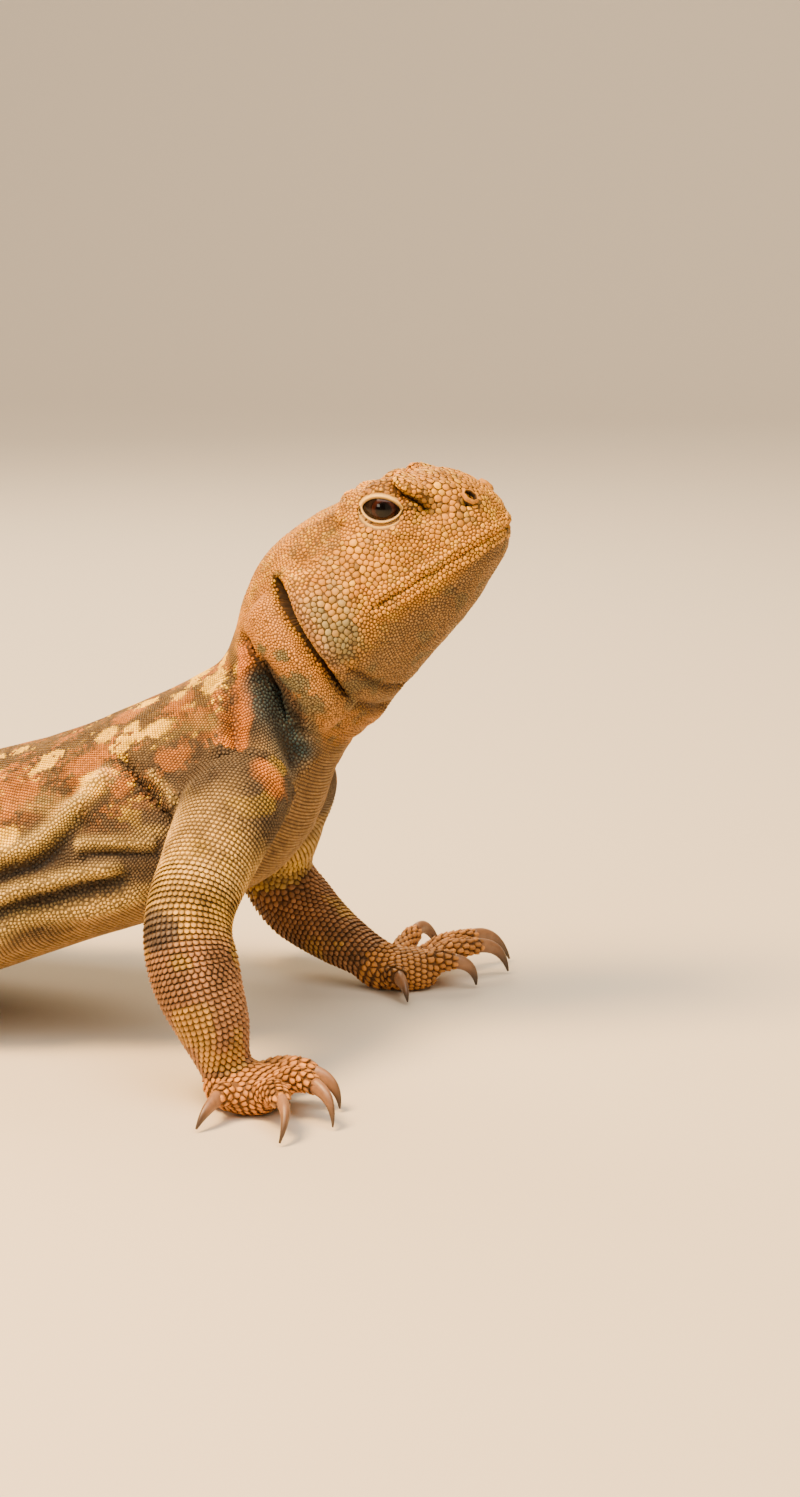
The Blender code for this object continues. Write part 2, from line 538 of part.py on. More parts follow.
def add_spines(tail, start, end, whorls):
    # Joins the spines of every whorl between two cuts of the tail to that length of it.
    spines = []
    for k, distance in enumerate(whorls):
        row = float(tail_row(distance))
        if not start < row < end:
            continue
        share = k / (WHORLS - 1)
        count = round(SPINE_COUNTS[0] + (SPINE_COUNTS[1] - SPINE_COUNTS[0]) * share)
        size = 1 + (SPINE_TIP_SIZE - 1) * share
        for j in range(count):
            place = 2 * j / (count - 1) - 1
            side = math.sin(abs(place) * math.pi / 2)
            vary = 1 + SPINE_VARIATION * math.sin(12.9 * k + 7.3 * j)
            length = (SPINE_LENGTHS[0] + (SPINE_LENGTHS[1] - SPINE_LENGTHS[0]) * side) * size * vary
            spines.append(spine("spine", row, math.radians(SPINE_SPREAD) * place, length, SPINE_WIDTH * size,
                                SPINE_THICKNESS * size, math.radians(SPINE_LEAN)))
    boolean(tail, spines, "UNION", "MANIFOLD")


def make_head(material):
    head = body_piece("head", 0.0, HEAD_END, HEAD_RINGS, BODY_SIDES, material)
    level = np.eye(3)
    x0, y0, z0 = EYE_CENTRE
    lids, cuts = [], [mouth_cutter()]
    for side in (1, -1):
        centre = (x0, side * y0, z0)
        shell = EYE_RADIUS + GAP + LID_THICKNESS
        lids.append(ellipsoid("lid_ball", centre, (shell,) * 3, level))
        cuts.append(ellipsoid("socket", centre, (EYE_RADIUS + GAP,) * 3, level))
        cuts.append(eye_opening_cutter(side))
        c, s = math.cos(math.radians(NOSTRIL_SLANT)), math.sin(math.radians(NOSTRIL_SLANT))
        slant = np.array([[c, 0.0, -s], [0.0, 1.0, 0.0], [s, 0.0, c]])
        nostril = (NOSTRIL[0], side * (NOSTRIL[1] + NOSTRIL_OUT), NOSTRIL[2])
        size = (NOSTRIL_SIZE[0], NOSTRIL_DEPTH, NOSTRIL_SIZE[1])
        cuts.append(ellipsoid("nostril", nostril, size, slant, 10, 6))
        top, end = on_flank(*EAR_TOP) * (1, -side, 1), on_flank(*EAR_END) * (1, -side, 1)
        run = end - top
        length = np.linalg.norm(run)
        run /= length
        out = np.cross(run, (1.0, 0.0, 0.0))
        out /= np.linalg.norm(out)
        wide = np.cross(out, run)
        cuts.append(ellipsoid("ear", (top + end) / 2, (EAR_WIDTH / 2, EAR_DEPTH, length / 2),
                              [wide, out, run], 12, 8))
    boolean(head, lids, "UNION")
    boolean(head, cuts, "DIFFERENCE")
    return head


def make_leg(spec, material):
    # The upper length, cut clear of the body, and the lower length down to the wrist or ankle.
    bend, last = spec["bend"], len(spec["axis"]) - 1
    half = GAP / 2 / np.linalg.norm(spline(spec["axis"], bend + 0.5) - spline(spec["axis"], bend - 0.5))
    rings = tube_rings(spec["axis"], spec["radii"], UPPER_LEG_RINGS, LEG_SIDES, 0, bend - half, BEND_EASE)
    upper = make_object(spec["names"][0], *loft(rings), material)
    rings = tube_rings(spec["axis"], spec["radii"], LOWER_LEG_RINGS, LEG_SIDES, bend + half, last, BEND_EASE)
    lower = make_object(spec["names"][1], *loft(rings), material)
    at = np.linspace(*(SHOULDER_ROWS if "arm" in spec["names"][0] else HIP_ROWS), 30)
    angle = np.linspace(0, 2 * math.pi, 36, endpoint=False)
    rings = body_point(at[:, None], angle[None, :], LEG_GAP)
    clearance = make_object("body_clearance", *loft(rings), helper=True)
    boolean(upper, [clearance], "DIFFERENCE")
    return upper, lower


def claw_rings(base, ahead, tip):
    # A claw leaves the toe straight ahead and curves down to its tip.
    control = base + ahead * CLAW_ARCH * np.linalg.norm(tip - base)
    t = np.linspace(0, 1, CLAW_RINGS)[:, None]
    axis = (1 - t) ** 2 * base + 2 * t * (1 - t) * control + t**2 * tip
    thick = CLAW_RADIUS + (CLAW_TIP_RADIUS - CLAW_RADIUS) * t**1.3
    return tube_rings(axis, np.concatenate([thick * CLAW_FLATNESS, thick], 1), CLAW_RINGS, CLAW_SIDES)


def leg_clearance(leg, down):
    # The leg's lower length made larger by the gap on every side, to cut its foot clear of it.
    last = len(leg["axis"]) - 1
    larger = np.array(leg["radii"]) + GAP
    rings = tube_rings(leg["axis"], larger, LOWER_LEG_RINGS, LEG_SIDES, leg["bend"] + 1, last, BEND_EASE)
    beyond = rings[-1:] + down * GAP * 0.95
    return make_object("leg_clearance", *loft(np.concatenate([rings, beyond])), helper=True)


def make_foot(name, spec, skin, horn):
    # The heel goes on from the leg, the sole and its toes are joined to it, and each toe has a claw.
    sole = make_object(name, *loft(tube_rings(spec["axis"], spec["radii"], SOLE_RINGS, SOLE_SIDES)), skin)
    leg = LEGS[spec["leg"]]
    end, before = np.array(leg["axis"][-1]), spline(leg["axis"], np.array([len(leg["axis"]) - 1.05]))[0]
    down = (end - before) / np.linalg.norm(end - before)
    heel = [end + down * GAP] + [end + down * HEEL_LENGTH * share for share in HEEL_PLACES]
    sizes = np.outer(HEEL_SIZES, leg["radii"][-1])
    toes, claws = [make_object("heel", *loft(tube_rings(heel, sizes, 3, SOLE_SIDES)), helper=True)], []
    for k, points in enumerate(spec["toes"]):
        axis = np.array(points[:3], float)
        radii = [(r, r) for r in TOE_RADII]
        toes.append(make_object("toe", *loft(tube_rings(axis, radii, TOE_RINGS, TOE_SIDES)), helper=True))
        ahead = axis[2] - spline(axis, np.array([1.9]))[0]
        ahead /= np.linalg.norm(ahead)
        root = axis[2] + ahead * GAP
        tip = np.array(points[3], float)
        claws.append(make_object(f"claw_{name}_{k + 1}", *loft(claw_rings(root, ahead, tip)), horn))
    boolean(sole, toes, "UNION")
    boolean(sole, [leg_clearance(leg, down)], "DIFFERENCE")
    return sole, claws


def main():
    for obj in list(bpy.data.objects):
        bpy.data.objects.remove(obj)
    tan = skin_material("skin_tan", (0.56, 0.33, 0.17))
    back = skin_material("skin_back", (0.46, 0.24, 0.12))
    leg = skin_material("skin_leg", (0.50, 0.32, 0.18))
    tail = skin_material("skin_tail", (0.42, 0.28, 0.16))
    horn = skin_material("claw_horn", (0.30, 0.20, 0.14), 0.4)
    eye = skin_material("eye_dark", (0.02, 0.01, 0.008), 0.08)

    make_head(tan)
    body_piece("neck", HEAD_END, NECK_END, NECK_RINGS, BODY_SIDES, tan)
    body_piece("torso_front", NECK_END, CHEST_END, TORSO_RINGS, BODY_SIDES, back)
    whorls = whorl_places()
    cuts = [float(tail_row(TAIL_ROOT_CUT))]
    for k in WHORL_CUTS:
        cuts.append(float(tail_row(whorls[k - 1] + WHORL_CUT_PLACE * (whorls[k] - whorls[k - 1]))))
    cuts.append(len(BODY) - 1)
    body_piece("torso_rear", CHEST_END, cuts[0], TORSO_RINGS, BODY_SIDES, back)
    for k, (start, end) in enumerate(zip(cuts[:-1], cuts[1:])):
        length = body_piece(f"tail_{k + 1}", start, end, TAIL_RINGS, TAIL_SIDES, tail)
        add_spines(length, start, end, whorls)
    x, y, z = EYE_CENTRE
    for side, word in ((1, "left"), (-1, "right")):
        ellipsoid(f"eye_{word}", (x, side * y, z), (EYE_RADIUS,) * 3, np.eye(3), helper=False, material=eye)
    for spec in LEGS.values():
        make_leg(spec, leg)
    for name, spec in FEET.items():
        make_foot(name, spec, leg, horn)


main()
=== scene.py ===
# Ornate uromastyx, life size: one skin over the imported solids, with every scale laid on it as mesh.
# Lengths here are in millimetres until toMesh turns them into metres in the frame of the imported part.
import itertools
import math

import bmesh
import bpy
import numpy as np
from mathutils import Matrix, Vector


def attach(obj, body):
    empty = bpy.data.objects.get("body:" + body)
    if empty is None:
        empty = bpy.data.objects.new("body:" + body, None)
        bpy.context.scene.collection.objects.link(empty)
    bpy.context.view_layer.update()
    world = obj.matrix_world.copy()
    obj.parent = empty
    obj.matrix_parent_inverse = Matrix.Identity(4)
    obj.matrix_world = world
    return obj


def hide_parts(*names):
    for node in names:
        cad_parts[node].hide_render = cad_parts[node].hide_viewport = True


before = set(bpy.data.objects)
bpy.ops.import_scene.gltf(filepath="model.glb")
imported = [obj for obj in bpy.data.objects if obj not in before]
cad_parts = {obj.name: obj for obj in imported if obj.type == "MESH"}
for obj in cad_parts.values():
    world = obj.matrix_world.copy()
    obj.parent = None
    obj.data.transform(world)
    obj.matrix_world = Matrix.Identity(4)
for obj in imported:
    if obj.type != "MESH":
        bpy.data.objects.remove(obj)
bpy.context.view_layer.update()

mm = 0.001
zero = np.array([-131.7, 0.0, 0.0])       # the frame's origin, in the animal's own millimetres
around = list(itertools.product((-1, 0, 1), repeat=3))      # a cube of space and the 26 that touch it


# The trunk

body = {
    # back x and z, belly x and z, half width, share of the widest height, squareness above and below
    "sections": [
        (17.6, 85.6, 17.7, 84.2, 0.9, 0.50, 2.0, 2.0), (16.4, 88.6, 17.2, 80.6, 5.4, 0.42, 2.2, 2.2),
        (12.6, 91.8, 14.7, 76.3, 8.4, 0.42, 2.3, 2.1), (8.2, 93.5, 12.2, 71.9, 10.2, 0.44, 2.4, 2.1),
        (3.4, 93.7, 8.7, 67.6, 11.6, 0.46, 2.6, 2.1), (-2.2, 92.3, 5.0, 63.4, 13.0, 0.46, 2.6, 2.1),
        (-8.8, 89.2, 1.6, 59.3, 14.8, 0.46, 2.5, 2.1), (-15.7, 85.0, -0.6, 56.8, 16.0, 0.46, 2.3, 2.1),
        (-21.8, 79.7, -2.6, 53.7, 15.6, 0.48, 2.2, 2.1), (-25.2, 73.4, -5.8, 51.0, 14.8, 0.50, 2.1, 2.1),
        (-26.8, 67.5, -9.0, 47.6, 14.8, 0.50, 2.0, 2.0), (-29.2, 62.4, -11.8, 41.6, 16.4, 0.50, 2.0, 2.0),
        (-34.2, 59.0, -14.9, 33.6, 18.8, 0.50, 2.1, 2.1), (-40.2, 55.8, -20.6, 26.6, 21.2, 0.48, 2.1, 2.2),
        (-47.0, 52.6, -29.6, 22.2, 23.4, 0.46, 2.1, 2.3), (-53.8, 49.6, -42.6, 17.8, 25.4, 0.44, 2.1, 2.4),
        (-61.0, 47.0, -55.4, 13.2, 27.2, 0.42, 2.1, 2.4), (-69.0, 44.6, -67.6, 8.8, 28.6, 0.41, 2.1, 2.5),
        (-80.0, 41.6, -80.0, 5.6, 29.4, 0.40, 2.1, 2.6), (-92.0, 38.8, -93.0, 3.6, 29.0, 0.40, 2.1, 2.6),
        (-104.0, 36.0, -105.0, 2.8, 27.2, 0.40, 2.1, 2.6), (-116.0, 32.8, -117.0, 2.6, 24.0, 0.40, 2.1, 2.5),
        (-127.0, 29.2, -128.0, 2.6, 20.4, 0.42, 2.1, 2.4), (-137.0, 25.8, -138.0, 2.2, 17.4, 0.43, 2.1, 2.4),
    ],
    "tailLength": 152.0,
    "tailShares": [k / 11 for k in range(1, 11)] + [0.965, 1.0],
    "tailWidths": (16.4, 3.9),
    "tailHeights": (22.6, 6.4),
    "tailTip": (0.7, 1.6),
    "tailSwing": 34.0,
    "tailSettle": 14.0,
    "tailSink": 0.4,
    "tailShape": (0.43, 2.1, 2.5),
    "tailTipLift": 0.3,
    "coatDepth": 0.34,
    # rounded swellings: centre on the left side, radii, height
    "swellings": [
        ((-1.5, 8.2, 92.4), (5.4, 3.2, 3.0), 0.85), ((-1.0, 10.5, 88.2), (5.5, 4.0, 4.5), 1.1),
        ((5.0, 7.2, 91.4), (5.0, 2.4, 2.6), 0.5), ((12.6, 5.4, 89.4), (2.6, 2.2, 2.4), 0.6),
        ((-10.5, 15.0, 72.5), (7.0, 5.0, 7.0), 1.3), ((-9.5, 13.0, 83.5), (5.0, 4.0, 4.5), -0.6),
        ((-8.8, 5.5, 90.0), (4.0, 5.0, 4.0), -0.9), ((7.5, 3.5, 93.5), (4.5, 4.0, 3.0), 0.35),
    ],
}


def spline(rows, at):
    # cubic through the rows, with the slope at each row half the step from the row before to the row after
    rows = np.asarray(rows, float)
    at = np.asarray(at, float)
    last = len(rows) - 1
    i = np.clip(np.floor(at).astype(int), 0, last - 1)
    t = (at - i)[..., None]
    before, here = rows[np.maximum(i - 1, 0)], rows[i]
    ahead, after = rows[i + 1], rows[np.minimum(i + 2, last)]
    leave, arrive = (ahead - before) / 2, (after - here) / 2
    return ((2 * t**3 - 3 * t**2 + 1) * here + (t**3 - 2 * t**2 + t) * leave
            + (3 * t**2 - 2 * t**3) * ahead + (t**3 - t**2) * arrive)


def unit(v):
    return v / np.maximum(np.linalg.norm(v, axis=-1, keepdims=True), 1e-9)


def smooth(low, high, x):
    # 0 below low, 1 above high, 3t^2 - 2t^3 between
    t = np.clip((x - low) / (high - low), 0, 1)
    return t * t * (3 - 2 * t)


def bell(x, power=2):
    # 1 at 0, falling to both sides as exp(-x^power)
    return np.exp(-x**power)


def bothEnds(share, width):
    # 0 at both ends of a path and 1 from the width on
    return smooth(0, width, share) * smooth(0, width, 1 - share)


def turns(count):
    # evenly spread angles of one full turn
    return np.linspace(0, 2 * math.pi, count, endpoint=False)


def fromBack(angle):
    # degrees from the middle of the back, the same on both sides
    return np.degrees(np.abs((angle + math.pi) % (2 * math.pi) - math.pi))


def sided(point, side):
    # a point given for the left side, on the side asked for
    return np.array(point) * (1, side, 1)


def tailRows():
    # the tail's centre steps along a heading that turns evenly with its length
    root = body["sections"][-1]
    x, y, before = (root[0] + root[2]) / 2, 0.0, 0.0
    rows = []
    for share in body["tailShares"]:
        turn = math.radians(body["tailSwing"]) * (share + before) / 2
        x -= (share - before) * body["tailLength"] * math.cos(turn)
        y -= (share - before) * body["tailLength"] * math.sin(turn)
        before = share
        lift = root[3] * max(0.0, 1 - share * body["tailLength"] / body["tailSettle"]) - body["tailSink"]
        wide, high = [a + (b - a) * share for a, b in (body["tailWidths"], body["tailHeights"])]
        if share == 1.0:
            (wide, high), lift = body["tailTip"], body["tailHeights"][1] * body["tailTipLift"]
        rows.append((x, lift + high, x, lift, wide, *body["tailShape"], y))
    return rows


bodyRows = np.array([row + (0.0,) for row in body["sections"]] + tailRows())
lastRow = len(bodyRows) - 1
rootRow = len(body["sections"]) - 1


def tailRow(distance):
    return rootRow + np.interp(np.asarray(distance) / body["tailLength"], [0.0] + body["tailShares"],
                               range(len(body["tailShares"]) + 1))


def sectionFrame(rowAt):
    # belly point, axis from belly to back, sideways unit vector and the row's own shape values
    v = spline(bodyRows, rowAt)
    back = np.stack([v[..., 0], v[..., 8], v[..., 1]], -1)
    belly = np.stack([v[..., 2], v[..., 8], v[..., 3]], -1)
    step = spline(bodyRows, np.minimum(rowAt + 0.02, lastRow)) - spline(bodyRows, np.maximum(rowAt - 0.02, 0))
    run = unit(step[..., [0, 8]] + step[..., [2, 8]])
    side = np.stack([-run[..., 1], run[..., 0], np.zeros_like(run[..., 0])], -1)
    return belly, back - belly, side, v


def plainPoint(rowAt, angle):
    # superellipse in the section's plane: sideways |sin|^(2/n), upright |cos|^(2/n), from the widest height
    rowAt, angle = np.broadcast_arrays(np.asarray(rowAt, float), np.asarray(angle, float))
    belly, axis, side, v = sectionFrame(rowAt)
    widest = v[..., 5:6]
    c, s = np.cos(angle)[..., None], np.sin(angle)[..., None]
    power = np.where(c >= 0, v[..., 6:7], v[..., 7:8])
    out = np.sign(s) * np.abs(s) ** (2 / power) * v[..., 4:5]
    rise = np.where(c >= 0, 1 - widest, -widest) * np.abs(c) ** (2 / power)
    return belly + axis * (widest + rise) + side * out


def plainNormal(rowAt, angle):
    step = 0.03
    along = plainPoint(np.minimum(rowAt + step, lastRow), angle) - plainPoint(np.maximum(rowAt - step, 0), angle)
    around = plainPoint(rowAt, angle + step) - plainPoint(rowAt, angle - step)
    return unit(np.cross(along, around))


def relief(points):
    # sum of gaussian swellings on both sides
    height = np.zeros(points.shape[:-1])
    for centre, radii, rise in body["swellings"]:
        for side in (1, -1):
            height += rise * np.exp(-(((points - sided(centre, side)) / radii) ** 2).sum(-1))
    return height


def bodyPoint(rowAt, angle, grow=0.0):
    points = plainPoint(rowAt, angle)
    return points + plainNormal(rowAt, angle) * (relief(points) + grow)[..., None]


def bodyPlace(points):
    # the inverse: row where the section's plane meets the point, angle and how far outside, in millimetres
    at = np.linspace(0, lastRow, 420)
    belly, axis, side, v = sectionFrame(at)
    centre = belly + axis * 0.5
    flat = unit(np.cross(axis, side))
    gap = np.linalg.norm(np.gradient(centre, axis=0), axis=1)
    rowAt = np.empty(len(points))
    for k in range(0, len(points), 5000):
        away = points[k:k + 5000, None] - centre
        across = (away * flat).sum(-1)
        best = np.argmin(across**2 + 0.03 * (away**2).sum(-1), axis=1)
        pick = np.arange(len(best))
        shift = np.clip(across[pick, best] / gap[best], -1, 1) * (at[1] - at[0])
        toward = np.sign(np.einsum("ij,ij->i", flat[best], np.gradient(centre, axis=0)[best]))
        rowAt[k:k + 5000] = at[best] + shift * toward
    rowAt = np.clip(rowAt, 0, lastRow)
    belly, axis, side, v = sectionFrame(rowAt)
    tall = np.linalg.norm(axis, axis=1)
    away = points - (belly + axis * v[:, 5:6])
    wide, rise = (away * side).sum(1) / v[:, 4], (away * axis).sum(1) / tall**2
    rise = np.where(rise >= 0, rise / (1 - v[:, 5]), rise / v[:, 5])
    power = np.where(rise >= 0, v[:, 6], v[:, 7])
    s, c = np.abs(wide) ** (power / 2), np.abs(rise) ** (power / 2)
    angle = np.arctan2(np.sign(wide) * s, np.sign(rise) * c)
    share = np.maximum((s**2 + c**2) ** (1 / power), 1e-6)
    reach = np.linalg.norm(away, axis=1)
    beyond = np.maximum(np.abs(((points - centre[0]) @ flat[0])) - 4, 0) * (rowAt <= 0.01)
    return rowAt, angle, reach * (1 - 1 / share) + beyond


# Limbs and feet

limbs = {
    # the solids it stands for, the middle line from the trunk outwards, level and rising radii
    "armRight": {
        "nodes": ("upper_arm_right", "forearm_right"),
        "axis": [(-23.5, -10.0, 44.0), (-22.5, -21.0, 42.0), (-24.0, -31.0, 35.0), (-25.0, -38.6, 27.6),
                (-23.0, -41.2, 19.5), (-20.4, -41.0, 12.0), (-18.8, -40.4, 5.4)],
        "radii": [(9.0, 8.0), (8.6, 7.6), (7.6, 6.9), (7.0, 6.8), (7.4, 6.7), (6.5, 5.7), (5.0, 3.9)],
    },
    "armLeft": {
        "nodes": ("upper_arm_left", "forearm_left"),
        "axis": [(-23.5, 10.0, 42.0), (-23.5, 20.5, 37.0), (-27.0, 29.5, 28.0), (-29.8, 34.8, 18.4),
                (-25.2, 34.6, 11.8), (-18.4, 31.4, 7.8), (-11.0, 28.6, 4.8)],
        "radii": [(9.0, 8.0), (8.4, 7.4), (7.4, 6.9), (6.9, 6.6), (7.0, 6.2), (5.9, 4.9), (4.9, 3.7)],
    },
    "legRight": {
        "nodes": ("thigh_right", "shank_right"),
        "axis": [(-127.0, -8.0, 16.0), (-123.0, -20.0, 17.0), (-117.5, -31.5, 18.2), (-113.5, -41.0, 18.6),
                (-120.0, -49.0, 14.6), (-126.5, -54.5, 9.8), (-131.0, -58.0, 5.4)],
        "radii": [(10.5, 9.0), (10.0, 8.6), (8.6, 8.0), (7.0, 6.8), (7.0, 6.2), (5.6, 4.8), (4.9, 3.9)],
    },
    "legLeft": {
        "nodes": ("thigh_left", "shank_left"),
        "axis": [(-127.0, 8.0, 16.0), (-125.0, 20.0, 17.0), (-121.0, 31.5, 18.0), (-118.5, 41.0, 18.0),
                (-126.0, 48.0, 14.0), (-133.5, 52.5, 9.4), (-139.0, 55.5, 5.4)],
        "radii": [(10.5, 9.0), (10.0, 8.6), (8.6, 8.0), (7.0, 6.8), (7.0, 6.2), (5.6, 4.8), (4.9, 3.9)],
    },
}
feet = {
    # sole from wrist or ankle to the knuckles, then each toe's root, knuckle, end and claw tip
    "handRight": {
        "node": "hand_right",
        "axis": [(-18.8, -40.4, 5.0), (-16.8, -41.6, 3.4), (-13.2, -42.8, 3.1), (-10.0, -43.6, 3.0)],
        "radii": [(4.9, 4.4), (5.6, 4.2), (6.4, 3.9), (5.0, 3.2)],
        "toes": [
            [(-14.6, -38.4, 3.4), (-11.4, -35.4, 4.6), (-8.6, -33.4, 4.6), (-5.6, -31.4, 0.7)],
            [(-11.4, -40.8, 3.8), (-7.6, -40.2, 6.0), (-4.2, -40.6, 5.6), (-0.6, -41.4, 0.6)],
            [(-10.4, -43.4, 3.8), (-6.2, -45.2, 6.2), (-2.6, -47.6, 5.8), (0.4, -50.4, 0.6)],
            [(-11.6, -46.2, 3.6), (-8.8, -50.2, 5.4), (-6.4, -54.2, 5.2), (-5.6, -59.4, 0.6)],
            [(-16.0, -45.4, 3.2), (-17.0, -48.4, 4.0), (-17.6, -50.8, 3.8), (-19.4, -55.6, 0.6)],
        ],
    },
    "handLeft": {
        "node": "hand_left",
        "axis": [(-11.0, 28.6, 4.4), (-8.4, 28.4, 3.2), (-4.6, 29.6, 3.0), (-1.0, 31.0, 2.9)],
        "radii": [(4.8, 4.4), (5.6, 4.1), (6.2, 3.8), (5.0, 3.1)],
        "toes": [
            [(-7.4, 25.4, 3.0), (-5.6, 22.6, 3.8), (-4.4, 20.8, 3.6), (-2.4, 17.4, 0.6)],
            [(-3.0, 28.6, 3.4), (1.0, 28.6, 5.0), (4.0, 29.4, 4.8), (7.0, 30.2, 0.6)],
            [(-1.8, 31.4, 3.4), (2.4, 34.6, 5.6), (6.6, 37.8, 5.6), (10.8, 40.0, 0.6)],
            [(-3.6, 33.8, 3.4), (0.0, 38.6, 5.4), (4.4, 43.6, 5.8), (9.6, 48.0, 0.6)],
            [(-7.6, 32.2, 3.2), (-7.4, 38.0, 4.6), (-6.0, 43.4, 6.4), (-2.0, 46.4, 0.6)],
        ],
    },
    "footRight": {
        "node": "foot_right",
        "axis": [(-132.8, -59.8, 3.6), (-130.4, -62.4, 3.4), (-124.6, -65.4, 3.1), (-119.0, -68.4, 2.9)],
        "radii": [(3.8, 4.2), (5.2, 4.1), (6.3, 3.9), (5.2, 3.2)],
        "toes": [
            [(-125.6, -60.6, 3.2), (-122.4, -58.6, 3.8), (-119.6, -57.4, 3.6), (-115.8, -56.2, 0.6)],
            [(-121.4, -64.6, 3.4), (-116.2, -64.2, 5.0), (-111.6, -64.0, 4.4), (-107.4, -64.0, 0.6)],
            [(-119.2, -68.2, 3.4), (-112.8, -70.6, 5.6), (-106.8, -72.6, 4.6), (-102.2, -74.2, 0.6)],
            [(-120.4, -70.2, 3.4), (-114.4, -75.4, 5.6), (-108.6, -80.0, 4.6), (-104.2, -83.4, 0.6)],
            [(-126.6, -68.2, 3.0), (-125.4, -73.4, 4.2), (-123.6, -78.2, 3.8), (-121.4, -82.4, 0.6)],
        ],
    },
    "footLeft": {
        "node": "foot_left",
        "axis": [(-141.0, 57.4, 3.6), (-138.8, 60.2, 3.4), (-133.6, 63.4, 3.1), (-128.4, 67.0, 2.9)],
        "radii": [(3.8, 4.2), (5.2, 4.1), (6.3, 3.9), (5.2, 3.2)],
        "toes": [
            [(-134.2, 59.0, 3.2), (-130.8, 57.4, 3.8), (-128.0, 56.4, 3.6), (-124.2, 55.6, 0.6)],
            [(-130.6, 63.2, 3.4), (-125.6, 63.2, 5.0), (-121.0, 63.2, 4.4), (-116.8, 63.4, 0.6)],
            [(-128.8, 67.0, 3.4), (-122.6, 69.8, 5.6), (-116.8, 72.2, 4.6), (-112.4, 74.0, 0.6)],
            [(-130.0, 69.0, 3.4), (-124.6, 74.6, 5.6), (-119.2, 79.6, 4.6), (-115.2, 83.4, 0.6)],
            [(-136.0, 66.6, 3.0), (-135.4, 71.8, 4.2), (-134.0, 76.8, 3.8), (-132.0, 81.0, 0.6)],
        ],
    },
}
limbShape = {"bendEase": 0.8, "ease": 0.05, "toeRadii": (2.3, 2.1, 1.65), "limbCoat": 0.42, "toeCoat": 0.3}


def tubeFrame(tube, at):
    # centre, direction ahead, level and rising unit vectors and the two radii, all read from smooth curves
    ease, last = tube["ease"], len(tube["axis"]) - 1
    centre, size = spline(tube["axis"], at), spline(tube["radii"], at)
    ahead = unit(spline(tube["axis"], np.minimum(at + ease, last)) - spline(tube["axis"], np.maximum(at - ease, 0)))
    level = unit(np.cross(ahead, (0.0, 0.0, 1.0)) + 1e-6)
    return centre, ahead, level, np.cross(level, ahead), size


def tubePoint(tube, at, angle, grow=0.0):
    # ellipse square to the path: level radius times cosine, rising radius times sine
    centre, ahead, level, rise, size = tubeFrame(tube, np.asarray(at, float))
    c, s = np.cos(angle)[..., None], np.sin(angle)[..., None]
    return centre + level * c * (size[..., :1] + grow) + rise * s * (size[..., 1:] + grow)


def tubePlace(tube, points):
    # nearest place on the path, the angle round it, and how far outside the tube
    at = np.linspace(0, len(tube["axis"]) - 1, 90)
    centre, ahead, level, rise, size = tubeFrame(tube, at)
    best = np.empty(len(points), int)
    for k in range(0, len(points), 10000):
        best[k:k + 10000] = np.argmin(((points[k:k + 10000, None] - centre) ** 2).sum(-1), axis=1)
    away = points - centre[best]
    a, b = (away * level[best]).sum(1) / size[best, 0], (away * rise[best]).sum(1) / size[best, 1]
    share = np.maximum(np.hypot(a, b), 1e-6)
    past = (away * ahead[best]).sum(1)
    past = np.maximum(np.where(best == len(at) - 1, past, np.where(best == 0, -past, 0)), 0)
    return at[best], np.arctan2(b, a), np.hypot((share - 1) * size[best].mean(1), past) * np.where(
        (share < 1) & (past <= 0), -1, 1)


def tubeRings(tube, count, sides, grow=0.0):
    # rings of a tube along its whole length
    at = np.linspace(0, len(tube["axis"]) - 1, count)
    return tubePoint(tube, *np.broadcast_arrays(at[:, None], turns(sides)[None, :]), grow)


def allTubes():
    # every limb, sole and toe as one list of tubes with the names of what they belong to
    ease = limbShape["ease"]
    found = [{"name": name, "kind": "limb", "axis": limb["axis"], "radii": limb["radii"],
              "ease": limbShape["bendEase"]} for name, limb in limbs.items()]
    for name, foot in feet.items():
        found.append({"name": name, "kind": "sole", "axis": foot["axis"], "radii": foot["radii"], "ease": ease})
        found += [{"name": name, "kind": "toe", "axis": toe[:3], "radii": [(r, r) for r in limbShape["toeRadii"]],
                   "ease": ease} for toe in foot["toes"]]
    return found


tubes = allTubes()


# Meshes

def toMesh(name, points, faces):
    # points in the animal's millimetres, faces as one array of equal polygons or a list of any
    mesh = bpy.data.meshes.new(name)
    points = (np.asarray(points, float) - zero) * mm
    if isinstance(faces, np.ndarray):
        mesh.vertices.add(len(points))
        mesh.vertices.foreach_set("co", points.astype(np.float32).ravel())
        mesh.loops.add(faces.size)
        mesh.loops.foreach_set("vertex_index", faces.astype(np.int32).ravel())
        mesh.polygons.add(len(faces))
        mesh.polygons.foreach_set("loop_start", np.arange(0, faces.size, faces.shape[1], dtype=np.int32))
        mesh.update(calc_edges=True)
    else:
        mesh.from_pydata(points.tolist(), [], faces)
    mesh.shade_smooth()
    made = bpy.data.objects.new(name, mesh)
    bpy.context.scene.collection.objects.link(made)
    return made


